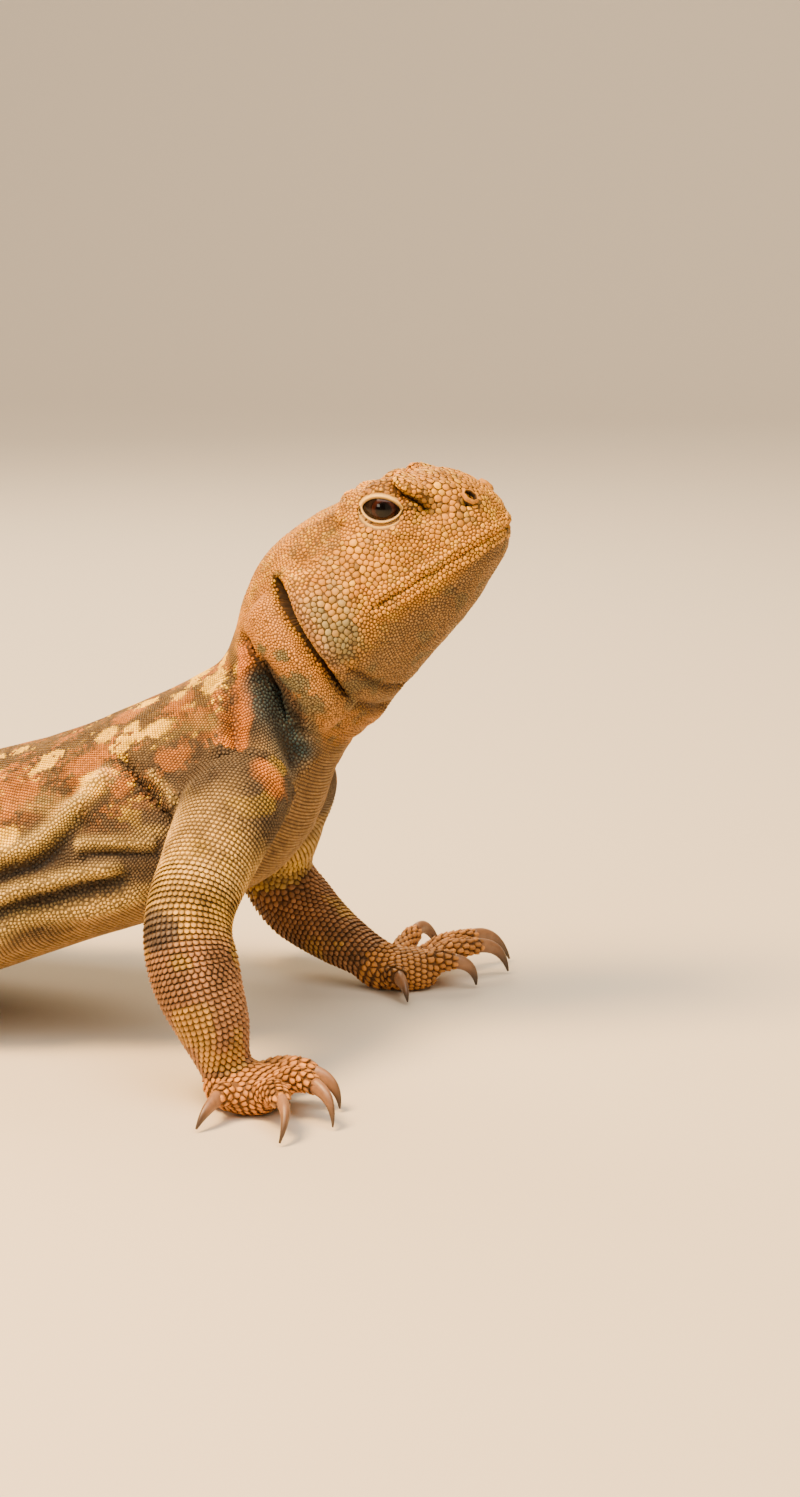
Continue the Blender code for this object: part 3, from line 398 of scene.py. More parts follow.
def loft(rings):
    # quads between rings, and a fan to the middle of each end ring
    rings = np.asarray(rings, float)
    count, sides = rings.shape[:2]
    j = np.arange(sides)
    following = (j + 1) % sides
    i = np.arange(count - 1)[:, None] * sides
    quads = np.stack([i + j, i + following, i + sides + following, i + sides + j], -1).reshape(-1, 4)
    first, last, end = count * sides, count * sides + 1, (count - 1) * sides
    faces = (quads.tolist() + np.stack([following, j, np.full(sides, first)], 1).tolist()
             + np.stack([end + j, end + following, np.full(sides, last)], 1).tolist())
    return np.concatenate([rings.reshape(-1, 3), rings[:1].mean(1), rings[-1:].mean(1)]), faces


def joined(parts):
    # several meshes as one set of points and faces
    points, faces, count = [], [], 0
    for p, f in parts:
        points.append(p)
        faces += [[v + count for v in corners] for corners in f]
        count += len(p)
    return np.concatenate(points), faces


def fixOutward(obj):
    work = bmesh.new()
    work.from_mesh(obj.data)
    bmesh.ops.recalc_face_normals(work, faces=work.faces)
    if work.calc_volume(signed=True) < 0:
        bmesh.ops.reverse_faces(work, faces=work.faces)
    work.to_mesh(obj.data)
    work.free()


def vectors(items, key):
    values = np.empty(len(items) * 3, np.float32)
    items.foreach_get(key, values)
    return values.reshape(-1, 3).astype(float)


def coordinates(mesh):
    # vertices of a mesh in the animal's millimetres
    return vectors(mesh.vertices, "co") / mm + zero


def evaluated(obj):
    graph = bpy.context.evaluated_depsgraph_get()
    return bpy.data.meshes.new_from_object(obj.evaluated_get(graph))


def applied(obj):
    mesh = evaluated(obj)
    obj.modifiers.clear()
    obj.data = mesh
    return obj


def eased(obj, rounds, weights=""):
    # smooths the points by half of the way to their neighbours' middle in each round
    ease = obj.modifiers.new("ease", "SMOOTH")
    ease.factor, ease.iterations, ease.vertex_group = 0.5, rounds, weights
    return applied(obj)


def nearPairs(points, radius, others=None):
    # all pairs closer than radius, by sorting the points into cubes and reading the 27 cubes round each
    same = others is None
    others = points if same else others
    low = np.minimum(points.min(0), others.min(0))
    cell, otherCell = [np.floor((p - low) / radius).astype(np.int64) + 1 for p in (points, others)]
    size = np.maximum(cell.max(0), otherCell.max(0)) + 2
    key, otherKey = [(c[:, 0] * size[1] + c[:, 1]) * size[2] + c[:, 2] for c in (cell, otherCell)]
    order = np.argsort(otherKey, kind="stable")
    ordered = otherKey[order]
    firsts, seconds = [], []
    for dx, dy, dz in around:
        want = key + (dx * size[1] + dy) * size[2] + dz
        first, end = np.searchsorted(ordered, want, "left"), np.searchsorted(ordered, want, "right")
        count = end - first
        i = np.repeat(np.arange(len(points)), count)
        start = np.repeat(first - np.concatenate([[0], np.cumsum(count)[:-1]]), count)
        j = order[start + np.arange(count.sum())]
        near = ((points[i] - others[j]) ** 2).sum(1) < radius**2
        if same:
            near &= i != j
        firsts.append(i[near])
        seconds.append(j[near])
    return np.concatenate(firsts), np.concatenate(seconds)


def firstOfEach(sortedNumbers):
    # where a new number starts in a sorted list of numbers
    return np.flatnonzero(np.diff(sortedNumbers, prepend=-1))


def nearest(points, others):
    # index of the nearest of the others and its distance, by a search that widens until every point has one
    unfound = 99.0
    found, gap = np.zeros(len(points), int), np.full(len(points), unfound)
    left = np.arange(len(points))
    for radius in (0.8, 2.0, 6.0, 20.0):
        i, j = nearPairs(points[left], radius, others)
        d = np.linalg.norm(points[left[i]] - others[j], axis=1)
        order = np.lexsort((d, i))
        i, j, d = i[order], j[order], d[order]
        first = firstOfEach(i)
        found[left[i[first]]], gap[left[i[first]]] = j[first], d[first]
        left = left[gap[left] == unfound]
        if not len(left):
            break
    return found, gap


def hashed(cells, seed):
    # a fixed pseudo-random number from 0 to 1 for each cube
    n = cells[..., 0] * 73856093 ^ cells[..., 1] * 19349663 ^ cells[..., 2] * 83492791 ^ (seed * 2654435761)
    n = (n ^ (n >> 13)) * 1274126177 & 0x7FFFFFFF
    return ((n ^ (n >> 16)) & 0xFFFF) / 65535.0


def clouds(points, size, seed=0):
    # value noise: numbers on a grid of cubes, blended smoothly between the eight corners
    p = points / size + 100.0
    cell = np.floor(p).astype(np.int64)
    t = p - cell
    t = t * t * (3 - 2 * t)
    total = 0.0
    for corner in itertools.product((0, 1), repeat=3):
        near = np.where(corner, t, 1 - t)
        total = total + near[..., 0] * near[..., 1] * near[..., 2] * hashed(cell + corner, seed)
    return total


def patches(points, size, seed=0):
    # distance to the nearest of one scattered point per cube, how much farther the second is, and its number
    p = points / size + 100.0
    cell = np.floor(p).astype(np.int64)
    best, second = np.full(len(p), 9.0), np.full(len(p), 9.0)
    number = np.zeros(len(p))
    for step in around:
        c = cell + step
        spot = c + np.stack([hashed(c, seed + k) for k in (1, 2, 3)], -1)
        d = np.linalg.norm(p - spot, axis=1)
        closer = d < best
        second = np.where(closer, best, np.minimum(second, d))
        number = np.where(closer, hashed(c, seed + 4), number)
        best = np.where(closer, d, best)
    return best, second - best, number


# Folds of the skin

folds = {
    # each is a path of (row, degrees from the back), a height, negative for a crease, and a width
    "canthus": ([(3.7, 36), (3.1, 34), (2.5, 36)], 0.5, 0.9),
    "cheekHollow": ([(4, 62), (3.4, 60), (2.8, 60)], -0.6, 1.5),
    "underEye": ([(6, 50), (5.5, 66), (4.8, 70), (4.2, 68)], 0.35, 0.9),
    "jowl": ([(7.05, 56), (7.1, 72), (7.15, 88), (7.25, 102)], 1.3, 1.8),
    "temple": ([(5.95, 34), (6.6, 42), (7.2, 48)], -0.9, 1.8),
    "earCrease": ([(7.75, 46), (7.75, 60), (7.8, 82), (7.8, 97), (7.9, 115), (8, 136)], -2, 0.8),
    "earRim": ([(7.3, 44), (7.35, 62), (7.4, 80), (7.45, 96), (7.55, 112)], 0.9, 1.1),
    "flap": ([(8.5, 44), (8.55, 62), (8.6, 82), (8.7, 100), (8.8, 120), (8.9, 140)], 1.7, 2.6),
    "flapRear": ([(9.7, 36), (9.5, 54), (9.7, 74), (9.75, 94), (9.9, 117), (10.1, 130)], -2.2, 1),
    "flapGroove": ([(9.3, 66), (9.3, 88), (9.4, 108), (9.8, 122)], -1.2, 0.9),
    "neckHollow": ([(9.8, 60), (9.85, 76), (9.9, 90), (10.1, 106), (10.4, 124), (10.7, 142)], -3, 2),
    "throatCrease": ([(7.3, 112), (6.9, 126), (6.6, 146), (6.3, 170), (6.3, 180)], -1.3, 0.8),
    "throatFold": ([(7.9, 136), (7.7, 156), (7.6, 180)], -1.5, 1.2),
    "shoulderCrease": ([(10.4, 38), (11.1, 72), (11.5, 90), (11.8, 104)], -1.4, 1.4),
    "shoulderRidge": ([(10.9, 40), (11.4, 66), (11.8, 84)], 1.1, 1.5),
    "armCrease": ([(13.7, 44), (13.5, 64), (13.3, 85), (13.1, 103)], -1.6, 0.75),
    "armRidge": ([(13.2, 62), (13.0, 80), (12.8, 98)], 1.0, 1.1),
    "sideRidge": ([(17.6, 74), (16.1, 72), (15.4, 72), (14.8, 65), (14.3, 58), (13.8, 54)], 1.7, 1.8),
    "sideHollow": ([(17.6, 84), (16.1, 82), (15.4, 81), (14.9, 73), (14.5, 67)], -2.2, 2.3),
    "sidePatch": ([(14.9, 79), (14.3, 86), (13.7, 95)], 0.9, 1.2),
    "sidePatchHollow": ([(14.9, 86), (14.3, 92), (13.7, 99)], -1, 1.2),
    "lowRidge": ([(17.8, 92), (16.1, 89), (15.4, 91), (14.9, 93), (14.3, 98)], 1.4, 1.5),
    "lowHollow": ([(17.6, 98), (16.1, 96), (15.4, 99), (14.8, 102), (14.3, 106)], -1.7, 1.6),
    "bellyRidge": ([(18.2, 106), (16.2, 106), (15.4, 110), (14.8, 116), (14.2, 119)], 0.9, 2),
    "flankFold": ([(22, 96), (20.6, 88), (19.2, 86), (18, 90)], -1, 1.8),
    "flankFoldRidge": ([(21.6, 80), (20.2, 75), (18.8, 74), (17.6, 77)], 0.9, 2),
    "groinFold": ([(22.3, 62), (21.7, 84), (21.4, 106)], -0.8, 1.2),
    "vent": ([(22.9, 164), (22.8, 180), (22.9, 196)], -0.6, 0.7),
    "flapLip": ([(8.2, 48), (8.2, 66), (8.25, 84), (8.35, 104), (8.5, 130)], 0.8, 0.85),
}


def foldPath(path, side=1):
    # the path as points of the trunk, about half a millimetre apart
    path = np.array(path, float)
    at = spline(path, np.linspace(0, len(path) - 1, 90))
    return bodyPoint(at[:, 0], np.radians(at[:, 1]) * side)


def distanceTo(points, path, reach):
    # distance from each point to the nearest point of the path, and its share along it; far points are skipped
    d = np.full(len(points), 99.0)
    share = np.zeros(len(points))
    low, high = path.min(0) - reach, path.max(0) + reach
    close = np.flatnonzero(((points > low) & (points < high)).all(1))
    for k in range(0, len(close), 8000):
        part = close[k:k + 8000]
        away = ((points[part, None] - path) ** 2).sum(-1)
        best = away.argmin(1)
        d[part] = np.sqrt(away[np.arange(len(part)), best])
        share[part] = best / (len(path) - 1)
    return d, share


# The mouth, ears, eyes and nostrils

face = {
    "mouthFront": (17.4, 84.8), "mouthCorner": (-2.0, 73.0), "mouthRows": (0.5, 6.6),
    "mouthDepth": 0.75, "mouthWidth": 0.42,
    "lipRise": 0.3,
    "eyeCentre": (-1.0, 6.75, 88.4), "eyeRadius": 3.85,
    "eyeHalf": (3.0, 1.72),          # half length and half height of the gap between the lids
    "eyeTilt": -3.0,                  # degrees, the front corner is lower
    "lidReach": (1.15, 1.0, 1.7),    # how far the lids go out from the gap: along, up and down
    "socket": 0.4,
    # forms of the crown: centre, half axes, rise
    "forms": [((-7.0, 5.8, 90.5), (2.3, 3.4, 3.5), 2.4), ((0.2, 6.5, 92.6), (2.4, 3.5, 3.0), -0.2),
              ((-0.6, 0.0, 94.5), (2.0, 4.5, 4.0), -0.9)],
    # round the eye, across its own plane: the ridge of the brow, the crease under it, a wrinkle of the lid
    # each a path, height, width and how far in over the crown it reaches
    "browFolds": {"ridge": ([(-8.0, 1.4), (-6.7, 3.2), (-4.4, 4.5), (-1.5, 4.95), (1.2, 4.7), (3.4, 3.9),
                             (6.2, 2.9), (8.4, 1.5)], 1.35, 0.65, -3.2),
                  "crease": ([(-7.4, 0.2), (-6.1, 1.9), (-3.9, 3.2), (-1.3, 3.75), (0.9, 3.5), (2.9, 2.95),
                              (5.4, 2.0), (7.1, 0.9), (8.0, -0.3)], -1.5, 0.40, -0.7),
                  "corner": ([(3.9, 0.2), (5.2, 0.5), (6.4, 0.2)], -0.4, 0.3, -1.0),
                  "corner2": ([(3.9, -0.8), (5.0, -1.2), (6.2, -1.8)], -0.35, 0.3, -1.0),
                  "behind": ([(-4.3, -0.2), (-5.6, -0.1), (-7.0, -0.6)], -0.35, 0.3, -1.0)},
    "hood": (1.9, 0.8),               # how far the brow's ridge stands out over the eye, and its width
    "nostril": (12.4, 5.6, 89.3),
    # open slits where no scale stands: the ear with the gap under the jowl, and the gap behind the neck's flap
    # each is a path, its depth, its half width where it is widest and where that is along the path
    "slits": [([(7.75, 43), (7.75, 56), (7.76, 68), (7.78, 86)], 3.0, 1.2, 0.55),
              ([(7.77, 74), (7.8, 97), (7.9, 115), (8.0, 136)], 1.6, 0.45, 0.2),
              ([(9.62, 46), (9.58, 62), (9.72, 80), (9.85, 98), (10.0, 116)], 1.5, 0.45, 0.6)],
}


def unfolded(points):
    # where the points would lie if the trunk had no folds
    row, angle, _ = bodyPlace(points)
    return bodyPoint(row, angle)


def slitPlace(points, path, wide, widest, side):
    # distance to the slit's path over the unfolded trunk, and its half width there: a power curve, 0 at both ends
    line = foldPath(path, side)
    d, share = np.full(len(points), 99.0), np.zeros(len(points))
    near = ((points > line.min(0) - 5) & (points < line.max(0) + 5)).all(1)
    d[near], share[near] = distanceTo(unfolded(points[near]), line, 5)
    left = np.where(share < widest, share / widest, (1 - share) / (1 - widest))
    return d, np.maximum(wide * np.sqrt(np.maximum(left, 0.0)), 1e-3)


def mouthPath():
    # where the trunk meets a slanting line between the front of the lips and the corner, right side only
    front, corner = np.array(face["mouthFront"]), np.array(face["mouthCorner"])
    run = (front - corner) / np.linalg.norm(front - corner)
    upright = np.array([-run[1], run[0]])
    rows = np.linspace(*face["mouthRows"], 60)
    angle = np.radians(np.linspace(10, 172, 400))
    points = plainPoint(rows[:, None], angle[None, :])
    height = (points[..., [0, 2]] - corner) @ upright
    k = np.argmax(height < 0, axis=1)
    pick = np.arange(len(rows))
    found = points[pick, k]
    keep = (found[:, [0, 2]] - corner) @ run > -0.3
    nose = np.array([[front[0] + 0.1, 0.0, front[1]]])
    return np.concatenate([nose, found[keep]])


mouthRight = mouthPath()


def mouthLine(side, count=240):
    # the line of the mouth on one side as evenly shared points
    return spline(mouthRight * (1, side, 1), np.linspace(0, len(mouthRight) - 1, count))


def eyeFrame(side):
    # x along the eye to its front corner, y up, z out of the head
    tilt = math.radians(face["eyeTilt"])
    along = np.array([math.cos(tilt), 0.0, math.sin(tilt)])
    up = np.array([-math.sin(tilt), 0.0, math.cos(tilt)])
    return sided(face["eyeCentre"], side), along, up, np.array([0.0, side, 0.0])


def eyePlane(points, side):
    centre, along, up, out = eyeFrame(side)
    away = points - centre
    return away @ along, away @ up, away @ out


def almond(turn, grow=(0.0, 0.0)):
    # the gap's edge: an ellipse with its height eased by a power, so that both corners come to a point
    a, b = face["eyeHalf"][0] + grow[0], face["eyeHalf"][1] + grow[1]
    c, s = np.cos(turn), np.sin(turn)
    power = 1.25 - 0.3 * min(grow[0] / 1.5, 1.0)
    return a * c, b * np.sign(s) * np.abs(s) ** power * np.where(s > 0, 1.0, 0.95)


def almondShare(x, y):
    # 1 on the edge of the gap, less inside
    return np.sqrt((x / face["eyeHalf"][0]) ** 2 + (y / face["eyeHalf"][1]) ** 2)


def lidShare(x, y):
    # 1 on the outer edge of the lids
    along, up, down = face["lidReach"]
    return np.hypot(x / (face["eyeHalf"][0] + along), y / (face["eyeHalf"][1] + np.where(y > 0, up, down)))


def browPlace(points, path, inward, side):
    # distance and share along a path drawn across the eye's plane, and a window that shuts over the crown
    x, y, z = eyePlane(points, side)
    line = spline(path, np.linspace(0, len(path) - 1, 80))
    d, share = distanceTo(np.stack([x, y, 0 * x], 1), np.pad(line, ((0, 0), (0, 1))), 3)
    return d, share, smooth(inward - 0.5, inward + 0.5, z + 0.45 * np.maximum(x, 0))


# The skin: every length of the body joined by a voxel remesh, smoothed, and moved by the folds

skinMake = {
    "rings": {"limb": 70, "sole": 30, "toe": 26}, "sides": 36, "trunkRings": (330, 120),
    "heel": ((-2.0, 2.6, 4.6), (1.0, 0.92, 0.5)),      # places beyond the limb's end, shares of its radii
    "voxel": 0.94, "smoothing": 5, "joinReach": (1.5, 4.5), "joinSmoothing": 30, "lastSmoothing": 2,
    "headCut": (-30.0, 44.0),      # faces are cut finer in front of this x and above this z
    "floor": 0.16, "trunkReach": 1.2,
    "wrinkle": 1.15, "neckWrinkle": 0.4, "headUneven": 0.22, "uneven": (0.12, 0.25),
}


def skinParts():
    rings, sides = skinMake["trunkRings"]
    parts = [bodyPoint(np.linspace(0, lastRow, rings)[:, None], turns(sides)[None, :], -body["coatDepth"])]
    for tube in tubes:
        coat = limbShape["toeCoat" if tube["kind"] == "toe" else "limbCoat"]
        parts.append(tubeRings(tube, skinMake["rings"][tube["kind"]], skinMake["sides"], -coat))
    for limb in limbs.values():      # the wrist or ankle goes on into its foot
        end = np.array(limb["axis"][-1])
        down = unit(end - spline(limb["axis"], np.array([len(limb["axis"]) - 1.05]))[0])
        places, shares = skinMake["heel"]
        heel = {"axis": [end + down * place for place in places], "ease": limbShape["ease"],
                "radii": [np.array(limb["radii"][-1]) * share for share in shares]}
        parts.append(tubeRings(heel, 12, skinMake["sides"], -limbShape["limbCoat"]))
    return parts


def closedPart(rings):
    # a part's points, kept above the floor, with its faces turned outwards
    p, f = loft(rings)
    p[:, 2] = np.maximum(p[:, 2], skinMake["floor"])
    piece = toMesh("part", p, f)
    fixOutward(piece)
    f = [list(polygon.vertices) for polygon in piece.data.polygons]
    bpy.data.objects.remove(piece)
    return p, f


def makeSkin():
    skin = toMesh("skin", *joined([closedPart(rings) for rings in skinParts()]))
    remesh = skin.modifiers.new("remesh", "REMESH")
    remesh.mode = "VOXEL"
    remesh.voxel_size = skinMake["voxel"] * mm
    eased(skin, skinMake["smoothing"])
    p = coordinates(skin.data)
    outside, join = np.abs(bodyPlace(p)[2]), np.zeros(len(p))
    for tube in tubes[:len(limbs)]:
        join = np.maximum(join, 1 - smooth(*skinMake["joinReach"], np.abs(tubePlace(tube, p)[2])))
    join *= 1 - smooth(*skinMake["joinReach"], outside)
    weights = skin.vertex_groups.new(name="join")
    steps = 4
    for level in range(1, steps + 1):       # the joins of limbs and trunk, in even steps of weight
        weights.add(np.flatnonzero(np.round(join * steps) == level).tolist(), level / steps, "REPLACE")
    eased(skin, skinMake["joinSmoothing"], "join")
    work = bmesh.new()
    work.from_mesh(skin.data)
    lowX, lowZ = (skinMake["headCut"][0] - zero[0]) * mm, skinMake["headCut"][1] * mm
    near = [e for e in work.edges if min(v.co.x for v in e.verts) > lowX and min(v.co.z for v in e.verts) > lowZ]
    bmesh.ops.subdivide_edges(work, edges=near, cuts=1, use_grid_fill=True, smooth=0.0)
    bmesh.ops.triangulate(work, faces=[f for f in work.faces if len(f.verts) > 4])
    work.to_mesh(skin.data)
    work.free()
    return eased(skin, skinMake["lastSmoothing"])


def addFolds(move, p, trunk):
    # height times exp(-(distance / width)^2) for every fold, less towards both ends of its path
    for path, height, width in folds.values():
        for side in (1, -1):
            d, share = distanceTo(p, foldPath(path, side), width * 3 + 2)
            move += height * bell(d / width) * bothEnds(share, 0.14) * trunk


def addFace(move, p, trunk):
    # the groove of the mouth with the lips beside it, the slits, the folds of the brow and the crown's forms
    for side in (1, -1):
        line = mouthLine(side)
        d, share = distanceTo(p, line, 4)
        fade = smooth(0, 0.06, 1 - share)
        move -= face["mouthDepth"] * bell(d / face["mouthWidth"]) * fade
        over = (p[:, 2] - np.interp(p[:, 0], line[::-1, 0], line[::-1, 2])) > 0
        move += face["lipRise"] * (bell((d - 1.3) / 0.8) * fade) * np.where(over, 1, 0.4)
        for path, depth, wide, widest in face["slits"]:
            d, opening = slitPlace(p, path, wide, widest, side)
            move -= depth * bell(np.minimum(d / opening, 9), 4) * smooth(0.1, 0.5, opening / wide)
        for path, rise, wide, inward in face["browFolds"].values():
            d, share, window = browPlace(p, path, inward, side)
            move += rise * bell(d / wide) * window * bothEnds(share, 0.16)
        for centre, half, rise in face["forms"]:
            away = (p - sided(centre, side)) / half
            move += rise * np.exp(-(away**2).sum(1)) * trunk * (1.0 if centre[1] else 0.5)


def addWrinkles(move, p, row, degrees, trunk):
    # loose skin: on the flank, sharp-crested wrinkles along the body; round the neck, fine ones across it
    flank = smooth(10.6, 12.5, row) * (1 - smooth(20.8, 22.2, row)) * smooth(36, 58, degrees) * (
        1 - smooth(118, 140, degrees))
    slant = np.stack([p[:, 0] * 0.42 + p[:, 2] * 0.35, p[:, 1], p[:, 2] * 1.25 - p[:, 0] * 0.15], 1)
    move += skinMake["wrinkle"] * (0.55 - np.abs(2 * clouds(slant, 5.0, 8) - 1)) * flank * trunk
    neck = smooth(7.6, 8.6, row) * (1 - smooth(11.6, 12.6, row)) * smooth(40, 60, degrees)
    across = np.stack([row * 4.2, degrees * 0.05, np.zeros(len(p))], 1)
    move += skinMake["neckWrinkle"] * (0.5 - np.abs(2 * clouds(across, 1.6, 9) - 1)) * neck * trunk
    move += skinMake["headUneven"] * (clouds(p, 1.7, 10) - 0.5) * (1 - smooth(5.5, 7.0, row)) * trunk
    fine, broad = skinMake["uneven"]
    move += fine * (clouds(p, 3.2, 5) - 0.5) + broad * (clouds(p, 8.0, 6) - 0.5)


def hooded(p, side):
    # the brow's ridge stands out over the eye, and the skin round the eye keeps clear of the ball
    path, _, _, inward = face["browFolds"]["ridge"]
    d, share, window = browPlace(p, path, inward, side)
    stand = face["hood"][0] * bell(d / face["hood"][1]) * window
    p = p + np.array([0.0, side, 0.0]) * (stand * smooth(0, 0.3, share) * smooth(0, 0.3, 1 - share))[:, None]
    away = p - sided(face["eyeCentre"], side)
    far = np.linalg.norm(away, axis=1)
    least = face["eyeRadius"] + face["socket"]
    return p + unit(away) * (np.maximum(least - far, 0) * (far > 1.0) * (away[:, 1] * side > -1.5))[:, None]


def opened(p, side):
    # the skin is pressed down under the lids and behind the gap between them, and pushed in at the nostril
    x, y, z = eyePlane(p, side)
    near = (np.hypot(x, y) < 8) & (z > 0.5)
    eyeGround[side] = x[near], y[near], z[near]
    inside = np.where(z > 0, 1 - smooth(1.1, 1.35, almondShare(x, y)), 0)
    under = np.where(z > 0, 1 - smooth(0.86, 0.97, lidShare(x, y)), 0)
    out = eyeFrame(side)[3]
    p = p + out * np.minimum((np.minimum(z, 2.2) - z) * inside, -1.0 * under)[:, None]
    d = np.linalg.norm((p - sided(face["nostril"], side)) * (1.0, 0.35, 1.0), axis=1)
    return p - np.array([0.35, side * 0.9, 0.1]) * (1.7 * bell(d / 0.85, 4))[:, None]


def shapeSkin(skin):
    # moves the skin along its own normal by the sum of all folds, then opens the face
    p, n = coordinates(skin.data), vectors(skin.data.vertex_normals, "vector")
    row, angle, outside = bodyPlace(p)
    trunk, degrees = outside < skinMake["trunkReach"], np.degrees(np.abs(angle))
    move = np.zeros(len(p))
    addFolds(move, p, trunk)
    addFace(move, p, trunk)
    addWrinkles(move, p, row, degrees, trunk)
    p = p + n * move[:, None]
    for shape in (hooded, opened):
        for side in (1, -1):
            p = shape(p, side)
    p[:, 2] = np.maximum(p[:, 2], skinMake["floor"])
    skin.data.vertices.foreach_set("co", ((p - zero) * mm).astype(np.float32).ravel())
    skin.data.update()
    return move


eyeGround = {}        # the skin round each eye before it is pressed down under the lids
skin = makeSkin()
moved = shapeSkin(skin)
print("skin:", len(skin.data.polygons), "faces")


# Where the scales stand

lay = {
    # pitches of the scales in millimetres: the places (rows or steps of a limb) and the pitch at each
    "trunkPitch": ((14.0, 19.0), (0.56, 0.76)), "limbPitch": ((0.9, 2.4, 4.0), (0.66, 0.90, 1.12)),
    "solePitch": ((0,), (1.2,)), "toePitch": ((0,), (1.35,)), "tailFillPitch": ((0,), (1.7,)),
    # length of a row as a share of the pitch, and where the rows start along a limb, sole or toe, or at which
    # millimetre of the tail the trunk's end and the plain scales under the tail start
    "rows": {"limb": (0.86, 0.4), "sole": (0.9, 0.0), "toe": (0.95, 0.0), "trunk": (0.92, 1.0),
             "tailFill": (0.95, 1.6)},
    "fineRows": 2.3, "bare": 0.80, "settleSteps": 6, "tooClose": 0.56,
    # the head: close rings to pick from, unevenness of place and size, rounds of pushing apart
    "headRow": 9.0, "headClose": (0.40, 0.88), "headJitter": 0.08, "headVary": (0.78, 1.22), "headRounds": 10,
    "headPitches": (0.47, 1.26), "plateFrom": 0.74, "headPitch": 0.60,
    # where its scales are larger: by how much, row and degrees, and how far that reaches in both
    "headPlates": [(0.58, 6.75, 84, 0.55, 24), (0.60, 5.75, 62, 0.5, 7), (0.66, 2.7, 46, 1.3, 30),
                   (0.40, 3.4, 8, 2.2, 26), (0.40, 5.3, 80, 1.0, 11)],
    # rows of plates along the mouth: distance above it and pitch
    "lipRows": ((0.5, 0.8), (1.3, 0.85), (-0.55, 0.8), (-1.35, 0.85)),
    "whorls": 20, "whorlStart": 6.0, "whorlPitches": (8.3, 6.2), "spineCounts": (13, 8), "spineSpread": 104.0,
    "spineLengths": (4.2, 6.0), "spineTipSize": 0.72, "spineLean": 26.0,
}


def ringRoots(pointAt, start, end, pitch, rowShare):
    # rings a pitch apart along a length, each with its own count round it, every other one half a step on
    at = np.linspace(start, end, 600)
    rings = pointAt(*np.broadcast_arrays(at[:, None], turns(72)[None, :]))
    steps = np.linalg.norm(np.diff(rings, axis=0), axis=2).mean(1)
    edge = np.linalg.norm(rings - np.roll(rings, 1, axis=1), axis=2).sum(1)
    pitchAt = np.interp(at, *pitch)
    passed = np.concatenate([[0], np.cumsum(steps / (pitchAt[1:] * rowShare))])
    places = np.interp(np.arange(0.5, passed[-1]), passed, at)
    pitches = np.interp(places, at, pitchAt)
    counts = np.maximum(5, np.round(np.interp(places, at, edge) / pitches)).astype(int)
    angles = [(np.arange(n) + 0.5 * (k % 2)) / n * 2 * math.pi for k, n in enumerate(counts)]
    return np.repeat(places, counts), np.concatenate(angles), np.repeat(pitches, counts)


def spreadOut(points, pitch, seed):
    # picks points at least about a pitch apart: each that outranks all its neighbours, then those left over
    rank = np.random.default_rng(seed).random(len(points))
    i, j = nearPairs(points, float(pitch.max()))
    near = np.linalg.norm(points[i] - points[j], axis=1) < 0.86 * np.minimum(pitch[i], pitch[j])
    i, j = i[near], j[near]
    free, chosen = np.ones(len(points), bool), np.zeros(len(points), bool)
    for _ in range(8):
        both = free[i] & free[j]
        best = np.zeros(len(points))
        np.maximum.at(best, i[both], rank[j[both]])
        win = free & (rank > best)
        chosen |= win
        free &= ~win
        free[j[win[i]]] = False
    return chosen


def pushes(p, pitch, i, j, count, spacing, strength):
    # how far the first points give way: from each neighbour by a part of what is missing to the gap wanted
    away = p[i] - p[j]
    d = np.linalg.norm(away, axis=1)
    want = (pitch[i] + pitch[j]) / 2 * spacing
    push = np.maximum(want - d, 0) * strength / np.maximum(d, 1e-3)
    return np.stack([np.bincount(i, away[:, k] * push, count) for k in range(3)], 1)


def headPitch(row, degrees):
    # size of the scales over the head: grains on temple, throat and neck, plates on cheek and snout
    pitch = lay["headPitch"]
    for more, r, a, dr, da in lay["headPlates"]:
        pitch = pitch + more * np.exp(-((row - r) / dr) ** 2 - ((degrees - a) / da) ** 2)
    pitch = pitch - 0.11 * smooth(7.3, 8.0, row)
    return np.clip(pitch - 0.10 * smooth(98, 122, degrees), *lay["headPitches"])


def headRoots(fixed, fixedPitch):
    # picks from close rings by pitch, then pushes the roots apart, always on the trunk's surface
    rng = np.random.default_rng(11)
    close, rowShare = lay["headClose"]
    rows, angles, _ = ringRoots(bodyPoint, 0.15, lay["headRow"], ((0,), (close,)), rowShare)
    p = bodyPoint(rows, angles) + rng.normal(0, lay["headJitter"], (len(rows), 3))
    vary = rng.uniform(*lay["headVary"], len(p))
    chosen = spreadOut(p, headPitch(rows, fromBack(angles)) * vary, 12)
    p, vary = p[chosen], vary[chosen]
    for _ in range(lay["headRounds"]):
        row, angle, _ = bodyPlace(p)
        row = np.clip(row, 0.1, lay["headRow"] + 0.1)
        p = bodyPoint(row, angle)
        pitch = headPitch(row, np.degrees(np.abs(angle))) * vary
        everyone, everyPitch = np.concatenate([p, fixed]), np.concatenate([pitch, fixedPitch])
        i, j = nearPairs(everyone, 1.5)
        mine = i < len(p)
        p = p + np.clip(pushes(everyone, everyPitch, i[mine], j[mine], len(p), 1.04, 0.32), -0.3, 0.3)
    row, angle, _ = bodyPlace(p)
    return np.clip(row, 0.1, lay["headRow"] + 0.1), angle, headPitch(row, np.degrees(np.abs(angle))) * vary


